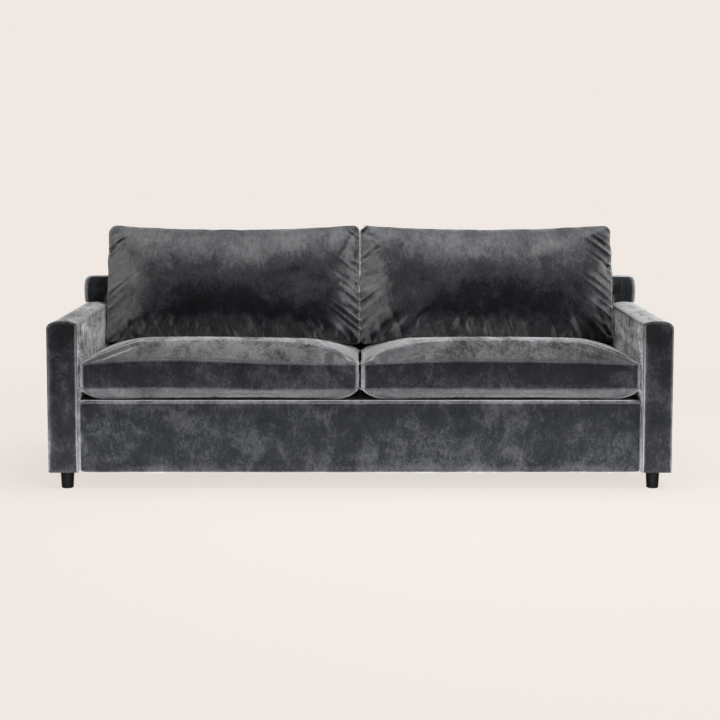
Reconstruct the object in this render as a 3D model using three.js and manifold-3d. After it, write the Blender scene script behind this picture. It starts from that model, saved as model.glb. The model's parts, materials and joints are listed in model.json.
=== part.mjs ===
import * as THREE from 'three';
import { mergeVertices } from 'three/addons/utils/BufferGeometryUtils.js';
import Module from 'manifold-3d';

const wasm = await Module();
wasm.setup();

// A two-cushion sofa with slim arms, a low back frame and loose pillows. Millimetres, +X across to the
// right as seen from the front, -Y to the front, +Z up. The origin is on the floor under the middle.

// Driving dimensions
const overall_width = 2235;
const overall_depth = 965;
const foot_height = 60;
const arm_width = 105;
const arm_height = 607;
const back_height = 703;
const back_lean = 8.6;
const deck_height = 317.4;
const back_base_thickness = 213;
const apron_setback = 15;
const apron_underside = 58;
const apron_height = 313;

// Clearances: between pieces that touch, and past the end of a cut
const touch_gap = 0.3;
const cut_overrun = 6;

// Cloth, foam and boards
const cloth = 2;
const deck_cloth_thickness = 1.5;
const dust_cloth_thickness = 1.2;
const deck_pad_thickness = 8;
const rail_thickness = 25;
const board_thickness = 18;
const ply_thickness = 12;
const piping_radius = 2.5;

// Arm: the crest of its crowned top stands this share of its width out from the inner edge
const crest_share = 0.44;
const arm_crown_rise = 14.5;
const arm_shoulder_drop = 47;
const arm_side_pad = 8;
const arm_front_pad = 8;
const arm_top_pad = 22;
const top_board_stand = 12;
const base_block_height = 40;
const window_margin = 110;
const window_height = 150;
const window_radius = 40;

// Back frame
const back_pad_thickness = 45;
const back_top_pad = 10;
const back_end_pad = 8;
const back_edge_radius = 14;
const back_corner_radius = 14;
const back_panel_drop = 12;
const back_panel_radius = 15;
const wing_inset = 2.5;
const wing_front_draw = 25;
const wing_bulge_depth = 80;
const rib_band = 35;

// Seat base and springs
const rail_top = 290;
const stretcher_height = 185;
const apron_side_gap = 4.5;
const apron_edge_radius = 10;
const apron_corner_radius = 13;
const apron_pad_thickness = 12;
const apron_top_pad = 7.5;
const springs_a_side = 5;
const spring_bars = 20;
const spring_wire_radius = 1.9;
const spring_width = 64;
const spring_rise = 10;
const clip_width = 18;
const clip_wall = 1.4;
const clip_strip_depth = 16;
const clip_strip_thickness = 1.5;

// Feet
const foot_top_radius = 24.5;
const foot_bottom_radius = 21.3;
const foot_rim = 3;
const stud_radius = 4;
const stud_length = 28;
const stud_socket_depth = 30;
const front_foot_inset = 40;
const rear_foot_inset = 52;
const foot_side_inset = 62.5;
const centre_foot_place = 0;

// Seat cushions
const seat_front_inset = 10;
const seat_rear_gap = 2.5;
const seat_side_gap = 11.5;
const seat_middle_gap = 3.5;
const seat_corner_radius = 50;
const seat_side_draw = 5;
const seat_boxing_bulge = 3;
const seat_lower_piping = 41;
const seat_upper_piping = 132;
const seat_piping_arch = 12;
const seat_side_sink = 31;
const seat_crown_rise = 42;
const seat_side_band = 120;
const seat_front_band = 45;
const pillow_rest_rise = 145;
const pillow_rest_from_back = 195;
const seat_front_slope = 0.3;

// Back pillows
const pillow_side_gap = 12;
const pillow_middle_gap = 4;
const pillow_height = 471;
const pillow_sag = 19;
const pillow_tilt = 12;
const pillow_foot_from_back = 103;
const pillow_foot_sink = 12;
const pillow_zip_behind_seam = 20;
const pillow_front_swell = 105;
const pillow_rear_swell = 98;
const pillow_corner_radius = 30;
const pillow_seam_half = 1.5;
const pillow_seam_allowance = 6;
const filling_gap = 0.6;
const zip_length = 500;
const zip_width = 4;

// Shares that shape the soft forms
const seat_dome_shares = { across: 4, along: 3, fullness: 0.5 };
const pillow_dome_shares = { across: 3.2, along: 3, fullness: 0.62, low_belly: 0.16 };
const stretcher_side_share = 0.5;

// Facets
const arc_steps = 3;
const crown_steps = 5;
const shoulder_steps = 6;
const tube_sides = 8;
const wire_sides = 4;
const clip_sides = 4;
const foot_sides = 20;
const seat_columns = 10;
const seat_rows = 8;

// Places that follow from the sizes above
const front_y = -overall_depth / 2;
const rear_y = overall_depth / 2;
const skin = cloth + touch_gap;
const arm_inner = overall_width / 2 - arm_width;
const arm_outer = overall_width / 2 - piping_radius;
const arm_front = front_y + piping_radius;
const body_rear = rear_y - skin;
const wing_half = overall_width / 2 - piping_radius - wing_inset;
const underside = foot_height + touch_gap;
const base_underside = underside + dust_cloth_thickness + 2 * touch_gap;
const lean_slope = Math.tan(THREE.MathUtils.degToRad(back_lean));
const back_underside = deck_height + touch_gap;
const apron_front = front_y + apron_setback;
const apron_half = arm_inner - apron_side_gap;
const apron_core_half = apron_half - skin - apron_edge_radius;
const rail_front = apron_front + skin + apron_pad_thickness + touch_gap;
const rail_rear = rail_front + rail_thickness;
const base_half = arm_inner - touch_gap;
const frame_behind_face = skin + back_pad_thickness + touch_gap;
const rear_rail_rear = backFace(deck_height) + frame_behind_face - touch_gap;
const rear_rail_front = rear_rail_rear - rail_thickness;
const back_board_top = back_height - skin - back_top_pad - touch_gap;

// Materials
const velvet = new THREE.MeshStandardMaterial({ color: 0x43464b, roughness: 0.85 });
const foam = new THREE.MeshStandardMaterial({ color: 0xe3d9b4, roughness: 0.95 });
const fibre = new THREE.MeshStandardMaterial({ color: 0xe9e7e1, roughness: 1 });
const plywood = new THREE.MeshStandardMaterial({ color: 0xcaa878, roughness: 0.7 });
const hardwood = new THREE.MeshStandardMaterial({ color: 0xb58a5a, roughness: 0.65 });
const steel = new THREE.MeshStandardMaterial({ color: 0x8c9095, roughness: 0.4, metalness: 0.9 });
const black_wood = new THREE.MeshStandardMaterial({ color: 0x131313, roughness: 0.5 });
const black_cloth = new THREE.MeshStandardMaterial({ color: 0x1d1d1f, roughness: 1 });

// The leaning inside face of the back: how far back it stands at a height
function backFace(z) {
  return rear_y - back_base_thickness + (z - deck_height) * lean_slope;
}

// A closed solid for cutting and joining: shared vertices merged, slivers without area left out
function solid(geometry) {
  const bare = geometry.clone();
  for (const name of Object.keys(bare.attributes)) {
    if (name !== 'position') bare.deleteAttribute(name);
  }
  const merged = mergeVertices(bare, 1e-4);
  const corners = merged.index.array;
  const kept = [];
  for (let i = 0; i < corners.length; i += 3) {
    const [a, b, c] = [corners[i], corners[i + 1], corners[i + 2]];
    if (a !== b && b !== c && c !== a) kept.push(a, b, c);
  }
  const vertProperties = new Float32Array(merged.attributes.position.array);
  const triVerts = new Uint32Array(kept);
  return new wasm.Manifold(new wasm.Mesh({ numProp: 3, vertProperties, triVerts }));
}

function surface(body) {
  const mesh = body.getMesh();
  const geometry = new THREE.BufferGeometry();
  geometry.setAttribute('position', new THREE.BufferAttribute(mesh.vertProperties, 3));
  geometry.setIndex(new THREE.BufferAttribute(mesh.triVerts, 1));
  return geometry;
}

function cut(geometry, ...tools) {
  return surface(tools.reduce((body, tool) => body.subtract(solid(tool)), solid(geometry)));
}

function join(geometry, ...others) {
  return surface(others.reduce((body, other) => body.add(solid(other)), solid(geometry)));
}

function overlapOf(geometry, other) {
  return surface(solid(geometry).intersect(solid(other)));
}

function block(x0, x1, y0, y1, z0, z1) {
  const geometry = new THREE.BoxGeometry(x1 - x0, y1 - y0, z1 - z0);
  return geometry.translate((x0 + x1) / 2, (y0 + y1) / 2, (z0 + z1) / 2);
}

function outlineOf(points, holes = []) {
  const shape = new THREE.Shape(points.map(([a, b]) => new THREE.Vector2(a, b)));
  shape.holes = holes.map((hole) => new THREE.Path(hole.map(([a, b]) => new THREE.Vector2(a, b))));
  return shape;
}

function push(shape, length, across, up, along, options = {}) {
  const settings = { depth: length, bevelEnabled: false, curveSegments: arc_steps, ...options };
  const geometry = new THREE.ExtrudeGeometry(shape, settings);
  return geometry.applyMatrix4(new THREE.Matrix4().makeBasis(across, up, along));
}

const X = new THREE.Vector3(1, 0, 0);
const Y = new THREE.Vector3(0, 1, 0);
const Z = new THREE.Vector3(0, 0, 1);
const FORWARD = new THREE.Vector3(0, -1, 0);

// An outline in Y and Z pushed along X, one in X and Z pushed along Y, and one in X and Y pushed along Z
function alongX(shape, x0, x1) {
  return push(shape, x1 - x0, Y, Z, X).translate(x0, 0, 0);
}

function alongY(shape, y0, y1) {
  return push(shape, y1 - y0, X, Z, FORWARD).translate(0, y1, 0);
}

function alongZ(shape, z0, z1) {
  return push(shape, z1 - z0, X, Y, Z).translate(0, 0, z0);
}

// The outline of a rectangle whose corners are rounded
function roundedBox(a0, a1, b0, b1, radius) {
  const shape = new THREE.Shape();
  shape.absarc(a1 - radius, b0 + radius, radius, -Math.PI / 2, 0);
  shape.absarc(a1 - radius, b1 - radius, radius, 0, Math.PI / 2);
  shape.absarc(a0 + radius, b1 - radius, radius, Math.PI / 2, Math.PI);
  shape.absarc(a0 + radius, b0 + radius, radius, Math.PI, 1.5 * Math.PI);
  shape.closePath();
  return shape;
}

function roundedPoints(a0, a1, b0, b1, radius) {
  return roundedBox(a0, a1, b0, b1, radius)
    .getPoints(arc_steps)
    .slice(0, -1)
    .map((point) => [point.x, point.y]);
}

// A path through given points, with one step of a swept section to each point
class Route extends THREE.Curve {
  constructor(points) {
    super();
    this.points = points;
  }

  getPoint(share) {
    const place = share * (this.points.length - 1);
    const before = Math.min(Math.floor(place), this.points.length - 2);
    return this.points[before].clone().lerp(this.points[before + 1], place - before);
  }

  getPointAt(share) {
    return this.getPoint(share);
  }

  getTangentAt(share) {
    return this.getTangent(share);
  }
}

function tube(points, radius, sides) {
  const section = new THREE.Shape();
  for (let i = 0; i < sides; i++) {
    const turn = (2 * Math.PI * i) / sides;
    const corner = [radius * Math.cos(turn), radius * Math.sin(turn)];
    if (i === 0) section.moveTo(...corner);
    else section.lineTo(...corner);
  }
  section.closePath();
  const extrudePath = new Route(points);
  return new THREE.ExtrudeGeometry(section, { steps: points.length - 1, extrudePath });
}

// Grid lines from -1 to 1, closer together towards the edges
function gridLine(index, count) {
  return -Math.cos((Math.PI * index) / count);
}

// A closed skin over a grid of places from -1 to 1 both ways: an upper and a lower face, and the rings
// that run round between their edges, each given as a function of the two places
function gridSkin(columns, rows, upper, rings, lower) {
  const points = [];
  const faces = [];
  const sheet = (place) => {
    const start = points.length;
    for (let j = 0; j <= rows; j++) {
      for (let i = 0; i <= columns; i++) points.push(place(gridLine(i, columns), gridLine(j, rows)));
    }
    return start;
  };
  const quad = (a, b, c, d) => faces.push(a, b, c, a, c, d);
  const rim = [];
  for (let i = 0; i < columns; i++) rim.push([i, 0]);
  for (let j = 0; j < rows; j++) rim.push([columns, j]);
  for (let i = columns; i > 0; i--) rim.push([i, rows]);
  for (let j = rows; j > 0; j--) rim.push([0, j]);

  const top = sheet(upper);
  const bottom = sheet(lower);
  for (let j = 0; j < rows; j++) {
    for (let i = 0; i < columns; i++) {
      const corner = j * (columns + 1) + i;
      const beyond = corner + columns + 1;
      quad(top + corner, top + corner + 1, top + beyond + 1, top + beyond);
      quad(bottom + corner, bottom + beyond, bottom + beyond + 1, bottom + corner + 1);
    }
  }
  const loops = [rim.map(([i, j]) => top + j * (columns + 1) + i)];
  for (const ring of rings) {
    loops.push(rim.map(([i, j]) => points.push(ring(gridLine(i, columns), gridLine(j, rows))) - 1));
  }
  loops.push(rim.map(([i, j]) => bottom + j * (columns + 1) + i));
  for (let band = 0; band + 1 < loops.length; band++) {
    for (let k = 0; k < rim.length; k++) {
      const next = (k + 1) % rim.length;
      quad(loops[band][k], loops[band + 1][k], loops[band + 1][next], loops[band][next]);
    }
  }
  const geometry = new THREE.BufferGeometry().setFromPoints(points);
  geometry.setIndex(faces);
  return geometry;
}

// A place on a plan of two half sizes whose corners are rounded, from places between -1 and 1
function roundedPlace(u, v, half_a, half_b, radius) {
  let [a, b] = [Math.abs(u) * half_a, Math.abs(v) * half_b];
  const into_a = (a - half_a + radius) / radius;
  const into_b = (b - half_b + radius) / radius;
  if (into_a > 0 && into_b > 0) {
    a = half_a - radius + radius * into_a * Math.sqrt(1 - into_b ** 2 / 2);
    b = half_b - radius + radius * into_b * Math.sqrt(1 - into_a ** 2 / 2);
  }
  return [Math.sign(u) * a, Math.sign(v) * b];
}

function piece(group, name, material, geometry) {
  const mesh = new THREE.Mesh(geometry, material);
  mesh.name = name;
  group.add(mesh);
}

// Arm section: the top rises from the inner edge to a crest and falls in a full shoulder to the outside
function armOutline(side, inset, bottom) {
  const inner = arm_inner + inset;
  const outer = arm_outer - inset;
  const top = arm_height - inset;
  const crest = arm_inner + crest_share * (arm_outer - arm_inner);
  const points = [[inner, bottom]];
  for (let step = 0; step < crown_steps; step++) {
    const short = 1 - step / crown_steps;
    points.push([crest - (crest - inner) * short, top - arm_crown_rise * short ** 2]);
  }
  for (let step = 0; step <= shoulder_steps; step++) {
    const turn = (Math.PI / 2) * (step / shoulder_steps);
    const fall = arm_shoulder_drop * (1 - Math.cos(turn));
    points.push([crest + (outer - crest) * Math.sin(turn), top - fall]);
  }
  points.push([outer, bottom]);
  return points.map(([x, z]) => [side * x, z]);
}

function armCover(side) {
  const edge = armOutline(side, 0, underside);
  const shell = cut(
    alongY(outlineOf(edge), arm_front, body_rear),
    alongY(outlineOf(armOutline(side, cloth, underside - cut_overrun)), arm_front + cloth, rear_y),
  );
  const front_path = edge.map(([x, z]) => new THREE.Vector3(x, arm_front, z));
  const [edge_x, edge_z] = edge[1];
  const inner_end = backFace(edge_z - piping_radius) - touch_gap;
  const inner_path = [arm_front, inner_end].map((y) => new THREE.Vector3(edge_x, y, edge_z));
  return join(shell, tube(front_path, piping_radius, tube_sides), tube(inner_path, piping_radius, tube_sides));
}

function foot(x, y) {
  const profile = [
    [0, 0],
    [foot_bottom_radius - foot_rim, 0],
    [foot_bottom_radius, foot_rim],
    [foot_top_radius, foot_height],
    [stud_radius, foot_height],
    [stud_radius, foot_height + stud_length],
    [0, foot_height + stud_length],
  ];
  const lathe = new THREE.LatheGeometry(profile.map(([r, z]) => new THREE.Vector2(r, z)), foot_sides);
  return surface(solid(lathe.rotateX(Math.PI / 2))).translate(x, y, 0);
}

// The hole that a foot's stud stands in
function studSocket(x, y, bottom) {
  const depth = stud_socket_depth + cut_overrun;
  const socket = new THREE.CylinderGeometry(stud_radius + touch_gap, stud_radius + touch_gap, depth, foot_sides);
  return socket.rotateX(Math.PI / 2).translate(x, y, bottom + stud_socket_depth - depth / 2);
}

function footPlaces(side) {
  const x = side * (overall_width / 2 - foot_side_inset);
  return { front: [x, front_y + front_foot_inset], rear: [x, rear_y - rear_foot_inset] };
}

function armAssembly(side, name) {
  const arm = new THREE.Group();
  const side_skin = skin + arm_side_pad + touch_gap;
  const board_inner = arm_inner + side_skin;
  const board_outer = arm_outer - side_skin;
  const board_front = arm_front + skin + arm_front_pad + touch_gap;
  const board_top = arm_height - skin - arm_top_pad - touch_gap;
  const panel_top = board_top - top_board_stand;
  const core_inner = board_inner + ply_thickness + touch_gap;
  const core_outer = board_outer - ply_thickness - touch_gap;
  const places = footPlaces(side);
  const between = (x0, x1, y0, y1, z0, z1) =>
    block(Math.min(side * x0, side * x1), Math.max(side * x0, side * x1), y0, y1, z0, z1);

  const envelope = [
    [board_inner - touch_gap, underside - cut_overrun],
    [board_inner - touch_gap, panel_top + touch_gap],
    [board_inner + ply_thickness, board_top + touch_gap],
    [board_outer - ply_thickness, board_top + touch_gap],
    [board_outer + touch_gap, panel_top + touch_gap],
    [board_outer + touch_gap, underside - cut_overrun],
  ].map(([x, z]) => [side * x, z]);
  const pad = cut(
    alongY(outlineOf(armOutline(side, skin, underside)), arm_front + skin, body_rear),
    alongY(outlineOf(envelope), board_front - touch_gap, rear_y),
  );

  const window_bottom = deck_height + touch_gap;
  const window = roundedPoints(
    board_front + window_margin,
    body_rear - window_margin,
    window_bottom,
    window_bottom + window_height,
    window_radius,
  );
  const panel_edge = [
    [board_front, underside],
    [body_rear, underside],
    [body_rear, panel_top],
    [board_front, panel_top],
  ];
  const panel = (x) => alongX(outlineOf(panel_edge, [window]), x - ply_thickness / 2, x + ply_thickness / 2);

  const board_under_top = board_top - board_thickness - touch_gap;
  const front_board_rear = board_front + board_thickness;
  const rear_board_front = body_rear - board_thickness;
  const base_front = front_board_rear + touch_gap;
  const base_rear = rear_board_front - touch_gap;
  const base_block = cut(
    between(core_inner, core_outer, base_front, base_rear, underside, underside + base_block_height),
    studSocket(...places.front, underside),
    studSocket(...places.rear, underside),
  );

  piece(arm, `${name}_arm_cover`, velvet, armCover(side));
  piece(arm, `${name}_arm_pad`, foam, pad);
  piece(arm, `${name}_arm_inner_panel`, plywood, panel(side * (board_inner + ply_thickness / 2)));
  piece(arm, `${name}_arm_outer_panel`, plywood, panel(side * (board_outer - ply_thickness / 2)));
  piece(
    arm,
    `${name}_arm_top_board`,
    plywood,
    between(core_inner, core_outer, board_front, body_rear, board_top - board_thickness, board_top),
  );
  piece(
    arm,
    `${name}_arm_front_board`,
    plywood,
    between(core_inner, core_outer, board_front, front_board_rear, underside, board_under_top),
  );
  piece(
    arm,
    `${name}_arm_rear_board`,
    plywood,
    between(core_inner, core_outer, rear_board_front, body_rear, underside, board_under_top),
  );
  piece(arm, `${name}_arm_base_block`, hardwood, base_block);
  piece(arm, `${name}_front_foot`, black_wood, foot(...places.front));
  piece(arm, `${name}_rear_foot`, black_wood, foot(...places.rear));
  return arm;
}

// Back: a leaning inside face with a rounded top edge, seen from the side
function backOutline(inset, bottom, rear) {
  const radius = back_edge_radius - inset;
  const top = back_height - inset;
  const arc_y = backFace(back_height - back_edge_radius) + inset + radius;
  const points = [[backFace(bottom) + inset, bottom]];
  for (let step = 0; step <= arc_steps; step++) {
    const turn = (Math.PI / 2) * (step / arc_steps);
    points.push([arc_y - radius * Math.cos(turn), top - radius + radius * Math.sin(turn)]);
  }
  points.push([rear, top], [rear, bottom]);
  return points;
}

// The same back seen from above: full width, with ends that swell outwards behind their front corners
function wingPlan(inset) {
  const half = wing_half - inset;
  const front = backFace(0) - cut_overrun;
  const swell_front = backFace(0) + inset;
  const points = [];
  for (const side of [1, -1]) {
    const run = [[side * (half - wing_front_draw), front]];
    for (let step = 0; step <= crown_steps; step++) {
      const turn = (Math.PI / 2) * (step / crown_steps);
      const x = half - wing_front_draw * (1 - Math.sin(turn));
      run.push([side * x, swell_front + wing_bulge_depth * (1 - Math.cos(turn))]);
    }
    run.push([side * half, rear_y + wing_bulge_depth]);
    points.push(...(side > 0 ? run : run.reverse()));
  }
  return points;
}

// And the same back seen from the front, with its top corners rounded over
function wingFace(inset) {
  const half = wing_half - inset;
  return roundedBox(-half, half, -back_corner_radius, back_height - inset, back_corner_radius - inset);
}

function backBody(inset, arm_clearance, bottom, rear) {
  const half = overall_width / 2;
  const body = alongX(outlineOf(backOutline(inset, bottom, rear)), -half, half);
  const face = alongY(wingFace(inset), front_y, rear_y + cut_overrun);
  const shear = new THREE.Matrix4().makeShear(0, 0, 0, 0, 0, lean_slope);
  const plan = alongZ(outlineOf(wingPlan(inset)), 0, back_height + cut_overrun).applyMatrix4(shear);
  const arms = [-1, 1].map((side) =>
    alongY(outlineOf(armOutline(side, -arm_clearance, 0)), arm_front, rear_y + cut_overrun),
  );
  return cut(overlapOf(overlapOf(body, face), plan), ...arms);
}

function ribOutline(inset) {
  const top = back_board_top - board_thickness - touch_gap - inset;
  const front = rear_rail_rear + touch_gap + inset;
  const knee = deck_height;
  return [
    [front, base_underside + inset],
    [body_rear - inset, base_underside + inset],
    [body_rear - inset, top],
    [backFace(top) + frame_behind_face + inset, top],
    [front, knee],
  ];
}

function backAssembly() {
  const back = new THREE.Group();
  const end_skin = skin + back_end_pad + touch_gap;
  const board_end = wing_half - end_skin - wing_front_draw;
  const shell = cut(
    backBody(0, touch_gap, back_underside, body_rear),
    backBody(cloth, skin, back_underside - cut_overrun, rear_y),
  );
  const hollow_bottom = back_underside - cut_overrun;
  const hollow_depth = frame_behind_face - touch_gap;
  const hollow = [
    [backFace(hollow_bottom) + hollow_depth, hollow_bottom],
    [rear_y, hollow_bottom],
    [rear_y, back_board_top + touch_gap],
    [backFace(back_board_top) + hollow_depth, back_board_top + touch_gap],
  ];
  const board_clear = board_end + touch_gap;
  const pad = cut(
    backBody(skin, skin + touch_gap, back_underside, body_rear),
    alongX(outlineOf(hollow), -board_clear, board_clear),
  );
  const rib = (x) =>
    alongX(outlineOf(ribOutline(0), [ribOutline(rib_band)]), x - board_thickness / 2, x + board_thickness / 2);
  const rib_place = arm_inner - skin - touch_gap - board_thickness;
  const top_rail_front = backFace(back_board_top) + frame_behind_face;
  const top_rail_bottom = back_board_top - board_thickness;
  const wing_bottom = arm_height + skin + 2 * touch_gap;
  const wing_edge = [
    [backFace(wing_bottom) + frame_behind_face, wing_bottom],
    [body_rear, wing_bottom],
    [body_rear, top_rail_bottom - touch_gap],
    [backFace(top_rail_bottom) + frame_behind_face, top_rail_bottom - touch_gap],
  ];

  piece(back, 'back_cover', velvet, shell);
  piece(back, 'back_pad', foam, pad);
  piece(back, 'left_back_rib', plywood, rib(-rib_place));
  piece(back, 'centre_back_rib', plywood, rib(0));
  piece(back, 'right_back_rib', plywood, rib(rib_place));
  piece(
    back,
    'back_top_rail',
    hardwood,
    block(-board_end, board_end, top_rail_front, body_rear, top_rail_bottom, back_board_top),
  );
  for (const [side, name] of [[-1, 'left'], [1, 'right']]) {
    const outside = side * board_end;
    const inside = side * (board_end - ply_thickness);
    const board = alongX(outlineOf(wing_edge), Math.min(inside, outside), Math.max(inside, outside));
    piece(back, `${name}_wing_board`, plywood, board);
  }
  const panel_top = back_height - back_panel_drop;
  const panel = roundedBox(-wing_half, wing_half, underside, panel_top, back_panel_radius);
  piece(back, 'outside_back', velvet, alongY(panel, rear_y - cloth, rear_y));
  return back;
}

// One sinuous spring: bars that run across, joined by bends at alternate ends, in a shallow arch
function sinuousSpring(x, y0, y1, z) {
  const pitch = (y1 - y0) / (spring_bars - 1);
  const reach = spring_width / 2;
  const straight = reach - pitch / 2;
  const height = (y) => {
    const share = (y - y0) / (y1 - y0);
    return z + 4 * spring_rise * share * (1 - share);
  };
  const points = [];
  for (let bar = 0; bar < spring_bars; bar++) {
    const way = bar % 2 === 0 ? 1 : -1;
    const y = y0 + bar * pitch;
    points.push(new THREE.Vector3(x - way * straight, y, height(y)));
    points.push(new THREE.Vector3(x + way * straight, y, height(y)));
    if (bar < spring_bars - 1) {
      const bend = y + pitch / 2;
      points.push(new THREE.Vector3(x + way * reach, bend, height(bend)));
    }
  }
  return tube(points, spring_wire_radius, wire_sides);
}

// A strip with one closed clip round the end bar of each spring
function clipStrip(y, z, stations) {
  const strip_y = y - clip_strip_depth / 2;
  const strip_top = z + clip_strip_thickness;
  const hole = spring_wire_radius + touch_gap;
  const centre = strip_top + clip_wall + hole - touch_gap / 2;
  const half = base_half - rail_thickness - cut_overrun;
  const strip = block(-half, half, strip_y, strip_y + clip_strip_depth, z, strip_top);
  const ring = new THREE.Shape();
  ring.absarc(y, centre, hole + clip_wall, 0, 2 * Math.PI);
  const bore = new THREE.Path();
  bore.absarc(y, centre, hole, 0, 2 * Math.PI, true);
  ring.holes.push(bore);
  const clips = stations.map((x) =>
    push(ring, clip_width, Y, Z, X, { curveSegments: clip_sides }).translate(x - clip_width / 2, 0, 0),
  );
  return { geometry: join(strip, ...clips), centre };
}

function seatBase() {
  const base = new THREE.Group();
  const side_rail_rear = rear_rail_front - touch_gap;
  const side_rail_front = rail_rear + touch_gap;
  const side_rail_top = deck_height - deck_cloth_thickness - deck_pad_thickness - 2 * touch_gap;
  const stretcher_half = stretcher_side_share * rail_thickness;

  piece(
    base,
    'front_rail',
    hardwood,
    block(-apron_core_half, apron_core_half, rail_front, rail_rear, base_underside, rail_top),
  );
  piece(
    base,
    'rear_rail',
    hardwood,
    block(-base_half, base_half, rear_rail_front, rear_rail_rear, base_underside, rail_top),
  );
  for (const [side, name] of [[-1, 'left'], [1, 'right']]) {
    const outside = side * base_half;
    const inside = side * (base_half - rail_thickness);
    piece(
      base,
      `${name}_side_rail`,
      hardwood,
      block(
        Math.min(inside, outside),
        Math.max(inside, outside),
        side_rail_front,
        side_rail_rear,
        base_underside,
        side_rail_top,
      ),
    );
  }
  const stretcher = block(
    -stretcher_half,
    stretcher_half,
    side_rail_front,
    side_rail_rear,
    base_underside,
    base_underside + stretcher_height,
  );
  piece(base, 'centre_stretcher', hardwood, cut(stretcher, studSocket(0, centre_foot_place, base_underside)));
  piece(base, 'centre_foot', black_wood, foot(0, centre_foot_place));

  const stations = [];
  const bay = base_half - rail_thickness;
  for (const side of [-1, 1]) {
    for (let i = 0; i < springs_a_side; i++) stations.push((side * bay * (i + 1 / 2)) / springs_a_side);
  }
  const front_clip_y = rail_rear - clip_strip_depth / 2;
  const rear_clip_y = rear_rail_front + clip_strip_depth / 2;
  const strip_bottom = rail_top + touch_gap;
  const front_strip = clipStrip(front_clip_y, strip_bottom, stations);
  const rear_strip = clipStrip(rear_clip_y, strip_bottom, stations);
  piece(base, 'front_clip_strip', steel, front_strip.geometry);
  piece(base, 'rear_clip_strip', steel, rear_strip.geometry);
  stations.sort((a, b) => a - b).forEach((x, i) => {
    const spring = sinuousSpring(x, front_clip_y, rear_clip_y, front_strip.centre);
    piece(base, `seat_spring_${i + 1}`, steel, spring);
  });

  const cloth_bottom = deck_height - deck_cloth_thickness;
  const pad_top = cloth_bottom - touch_gap;
  const deck = (z0, z1) => block(-base_half, base_half, side_rail_front, rear_rail_rear, z0, z1);
  piece(base, 'deck_cloth', black_cloth, deck(cloth_bottom, deck_height));
  piece(base, 'deck_pad', fibre, deck(pad_top - deck_pad_thickness, pad_top));

  const dust_bottom = underside + touch_gap;
  const dust_top = dust_bottom + dust_cloth_thickness;
  const dust = block(-base_half, base_half, side_rail_front, body_rear, dust_bottom, dust_top);
  piece(base, 'dust_cover', black_cloth, cut(dust, studSocket(0, centre_foot_place, dust_bottom)));
  return base;
}

// The apron is a panel with rounded front edges that wraps the front rail and is open behind
function apronForm(inset, front, rear) {
  const bevel = apron_edge_radius - inset;
  const shape = roundedBox(
    -apron_half + inset + bevel,
    apron_half - inset - bevel,
    apron_underside + inset + bevel,
    apron_height - inset - bevel,
    apron_corner_radius - apron_edge_radius,
  );
  const options = { bevelEnabled: true, bevelSize: bevel, bevelThickness: bevel, bevelSegments: 2 };
  const form = push(shape, rear - front, X, Z, FORWARD, options).translate(0, rear + bevel, 0);
  const spare = overall_width;
  return cut(form, block(-spare, spare, rear, rear + spare, -spare, spare));
}

function apronAssembly() {
  const apron = new THREE.Group();
  const pad_bottom = base_underside;
  const pad_top = apron_height - skin;
  const pad_inside = rail_front - touch_gap;
  const pad_edge = [
    [apron_front + skin, pad_bottom + apron_edge_radius],
    [apron_front + skin + apron_edge_radius, pad_bottom],
    [pad_inside, pad_bottom],
    [pad_inside, pad_top - apron_top_pad],
    [rail_rear, pad_top - apron_top_pad],
    [rail_rear, pad_top],
    [apron_front + skin + apron_edge_radius, pad_top],
    [apron_front + skin, pad_top - apron_edge_radius],
  ];
  const shell = cut(
    apronForm(0, apron_front, rail_rear),
    apronForm(cloth, apron_front + cloth, rail_rear + cut_overrun),
  );
  piece(apron, 'apron_cover', velvet, shell);
  piece(apron, 'apron_pad', foam, alongX(outlineOf(pad_edge), -apron_core_half, apron_core_half));
  return apron;
}

// Seat cushion: boxed, crowned, with a flat underside and a flat place behind where its pillow stands
const seat_bottom = deck_height + touch_gap;
const seat_front = front_y + seat_front_inset;
const seat_rear = backFace(deck_height) - seat_rear_gap;
const seat_half_width = (arm_inner - seat_side_gap - seat_middle_gap) / 2;
const seat_half_depth = (seat_rear - seat_front) / 2;
const seat_centre_y = (seat_front + seat_rear) / 2;
const seat_centre_x = seat_middle_gap + seat_half_width;
const pillow_rest = seat_bottom + pillow_rest_rise;
const pillow_rest_front = seat_rear - pillow_rest_from_back;

function dome(u, v, shares) {
  const across = 1 - Math.abs(u) ** shares.across;
  const along = 1 - Math.abs(v) ** shares.along;
  return (across * along) ** shares.fullness;
}

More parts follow.
